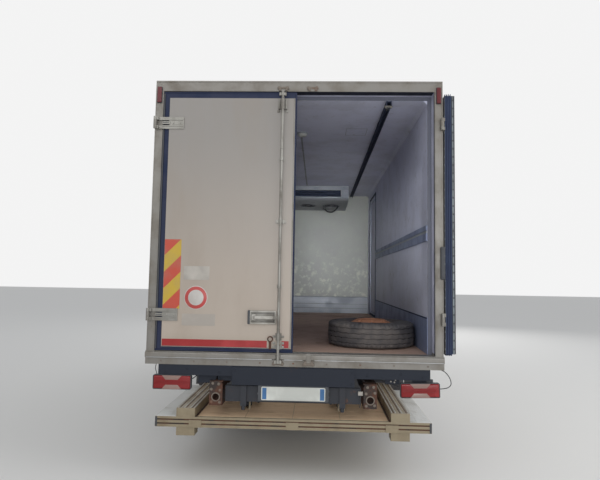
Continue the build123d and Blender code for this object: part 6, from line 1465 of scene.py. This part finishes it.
def area_light(name, place, aim, size, power, tint=(1.0, 1.0, 1.0), spread=180.0):
    """A square soft lamp at a place, turned to an aim point, that shines within its spread in degrees."""
    data = bpy.data.lights.new(name, "AREA")
    data.shape = "SQUARE"
    data.size = size
    data.energy = power
    data.color = tint
    data.spread = math.radians(spread)
    lamp = bpy.data.objects.new(name, data)
    bpy.context.scene.collection.objects.link(lamp)
    lamp.location = place
    direction = np.array(aim) - np.array(place)
    yaw = math.atan2(direction[1], direction[0]) - math.pi / 2
    pitch = math.atan2(direction[2], math.hypot(direction[0], direction[1]))
    lamp.rotation_euler = (math.pi / 2 + pitch, 0.0, yaw)
    lamp.visible_camera = False


def make_world():
    """A soft even sky for light, and a plain pale one where it is seen."""
    world = bpy.data.worlds.new("world")
    world.use_nodes = True
    bpy.context.scene.world = world
    tree = world.node_tree
    tree.nodes.clear()
    ray = tree.nodes.new("ShaderNodeLightPath")
    seen = tree.nodes.new("ShaderNodeMath")
    seen.operation = "MAXIMUM"
    tree.links.new(ray.outputs["Is Camera Ray"], seen.inputs[0])
    through = tree.nodes.new("ShaderNodeMath")
    through.operation = "MAXIMUM"
    tree.links.new(ray.outputs["Is Glossy Ray"], through.inputs[0])
    tree.links.new(ray.outputs["Is Transmission Ray"], through.inputs[1])
    tree.links.new(through.outputs[0], seen.inputs[1])
    sky = tree.nodes.new("ShaderNodeBackground")
    sky.inputs[0].default_value = (0.93, 0.96, 1.0, 1.0)
    sky.inputs[1].default_value = SKY_LEVEL
    pale = tree.nodes.new("ShaderNodeBackground")
    pale.inputs[0].default_value = (0.9, 0.9, 0.9, 1.0)
    pale.inputs[1].default_value = 1.0
    choice = tree.nodes.new("ShaderNodeMixShader")
    tree.links.new(seen.outputs[0], choice.inputs[0])
    tree.links.new(sky.outputs[0], choice.inputs[1])
    tree.links.new(pale.outputs[0], choice.inputs[2])
    out = tree.nodes.new("ShaderNodeOutputWorld")
    tree.links.new(choice.outputs[0], out.inputs[0])


def make_floor():
    """A wide pale floor at ground level."""
    reach = 60.0
    mesh = bpy.data.meshes.new("studio_floor")
    corners = [(-reach, -reach, 0), (reach, -reach, 0), (reach, reach, 0), (-reach, reach, 0)]
    mesh.from_pydata(corners, [], [(0, 1, 2, 3)])
    ground = bpy.data.objects.new("studio_floor", mesh)
    bpy.context.scene.collection.objects.link(ground)
    p = Paint("studio_floor")
    mesh.materials.append(p.surface(Base_Color=(0.72, 0.71, 0.69, 1.0), Roughness=0.9))


make_camera()
make_world()
make_floor()
build_pieces()
area_light("key", (-4.0, REAR - 7.0, 6.5), (0.0, REAR, 1.6), 6.0, 110.0, (1.0, 0.98, 0.95))
area_light("low", (1.2, REAR - 9.0, 2.6), (0.4, REAR, 1.7), 3.0, 215.0)
area_light("doorway", (0.60, REAR + 0.25, FLOOR + 1.15), (0.50, FRONT_INNER, FLOOR + 1.2), 1.05, 8.0,
           (0.96, 0.98, 1.0), 50.0)
area_light("deck_left", (-0.58, REAR + 0.62, 0.78), (-0.58, REAR + 0.63, 0.0), 1.1, 1.25)
area_light("deck_right", (0.58, REAR + 0.62, 0.78), (0.58, REAR + 0.63, 0.0), 1.1, 1.25)
area_light("side", (8.0, REAR - 2.0, 6.0), (1.0, 0.0, 1.5), 6.0, 260.0)
area_light("front", (3.0, 10.0, 6.0), (0.0, 2.0, 1.5), 6.0, 300.0)

bpy.context.scene.view_settings.view_transform = "Standard"
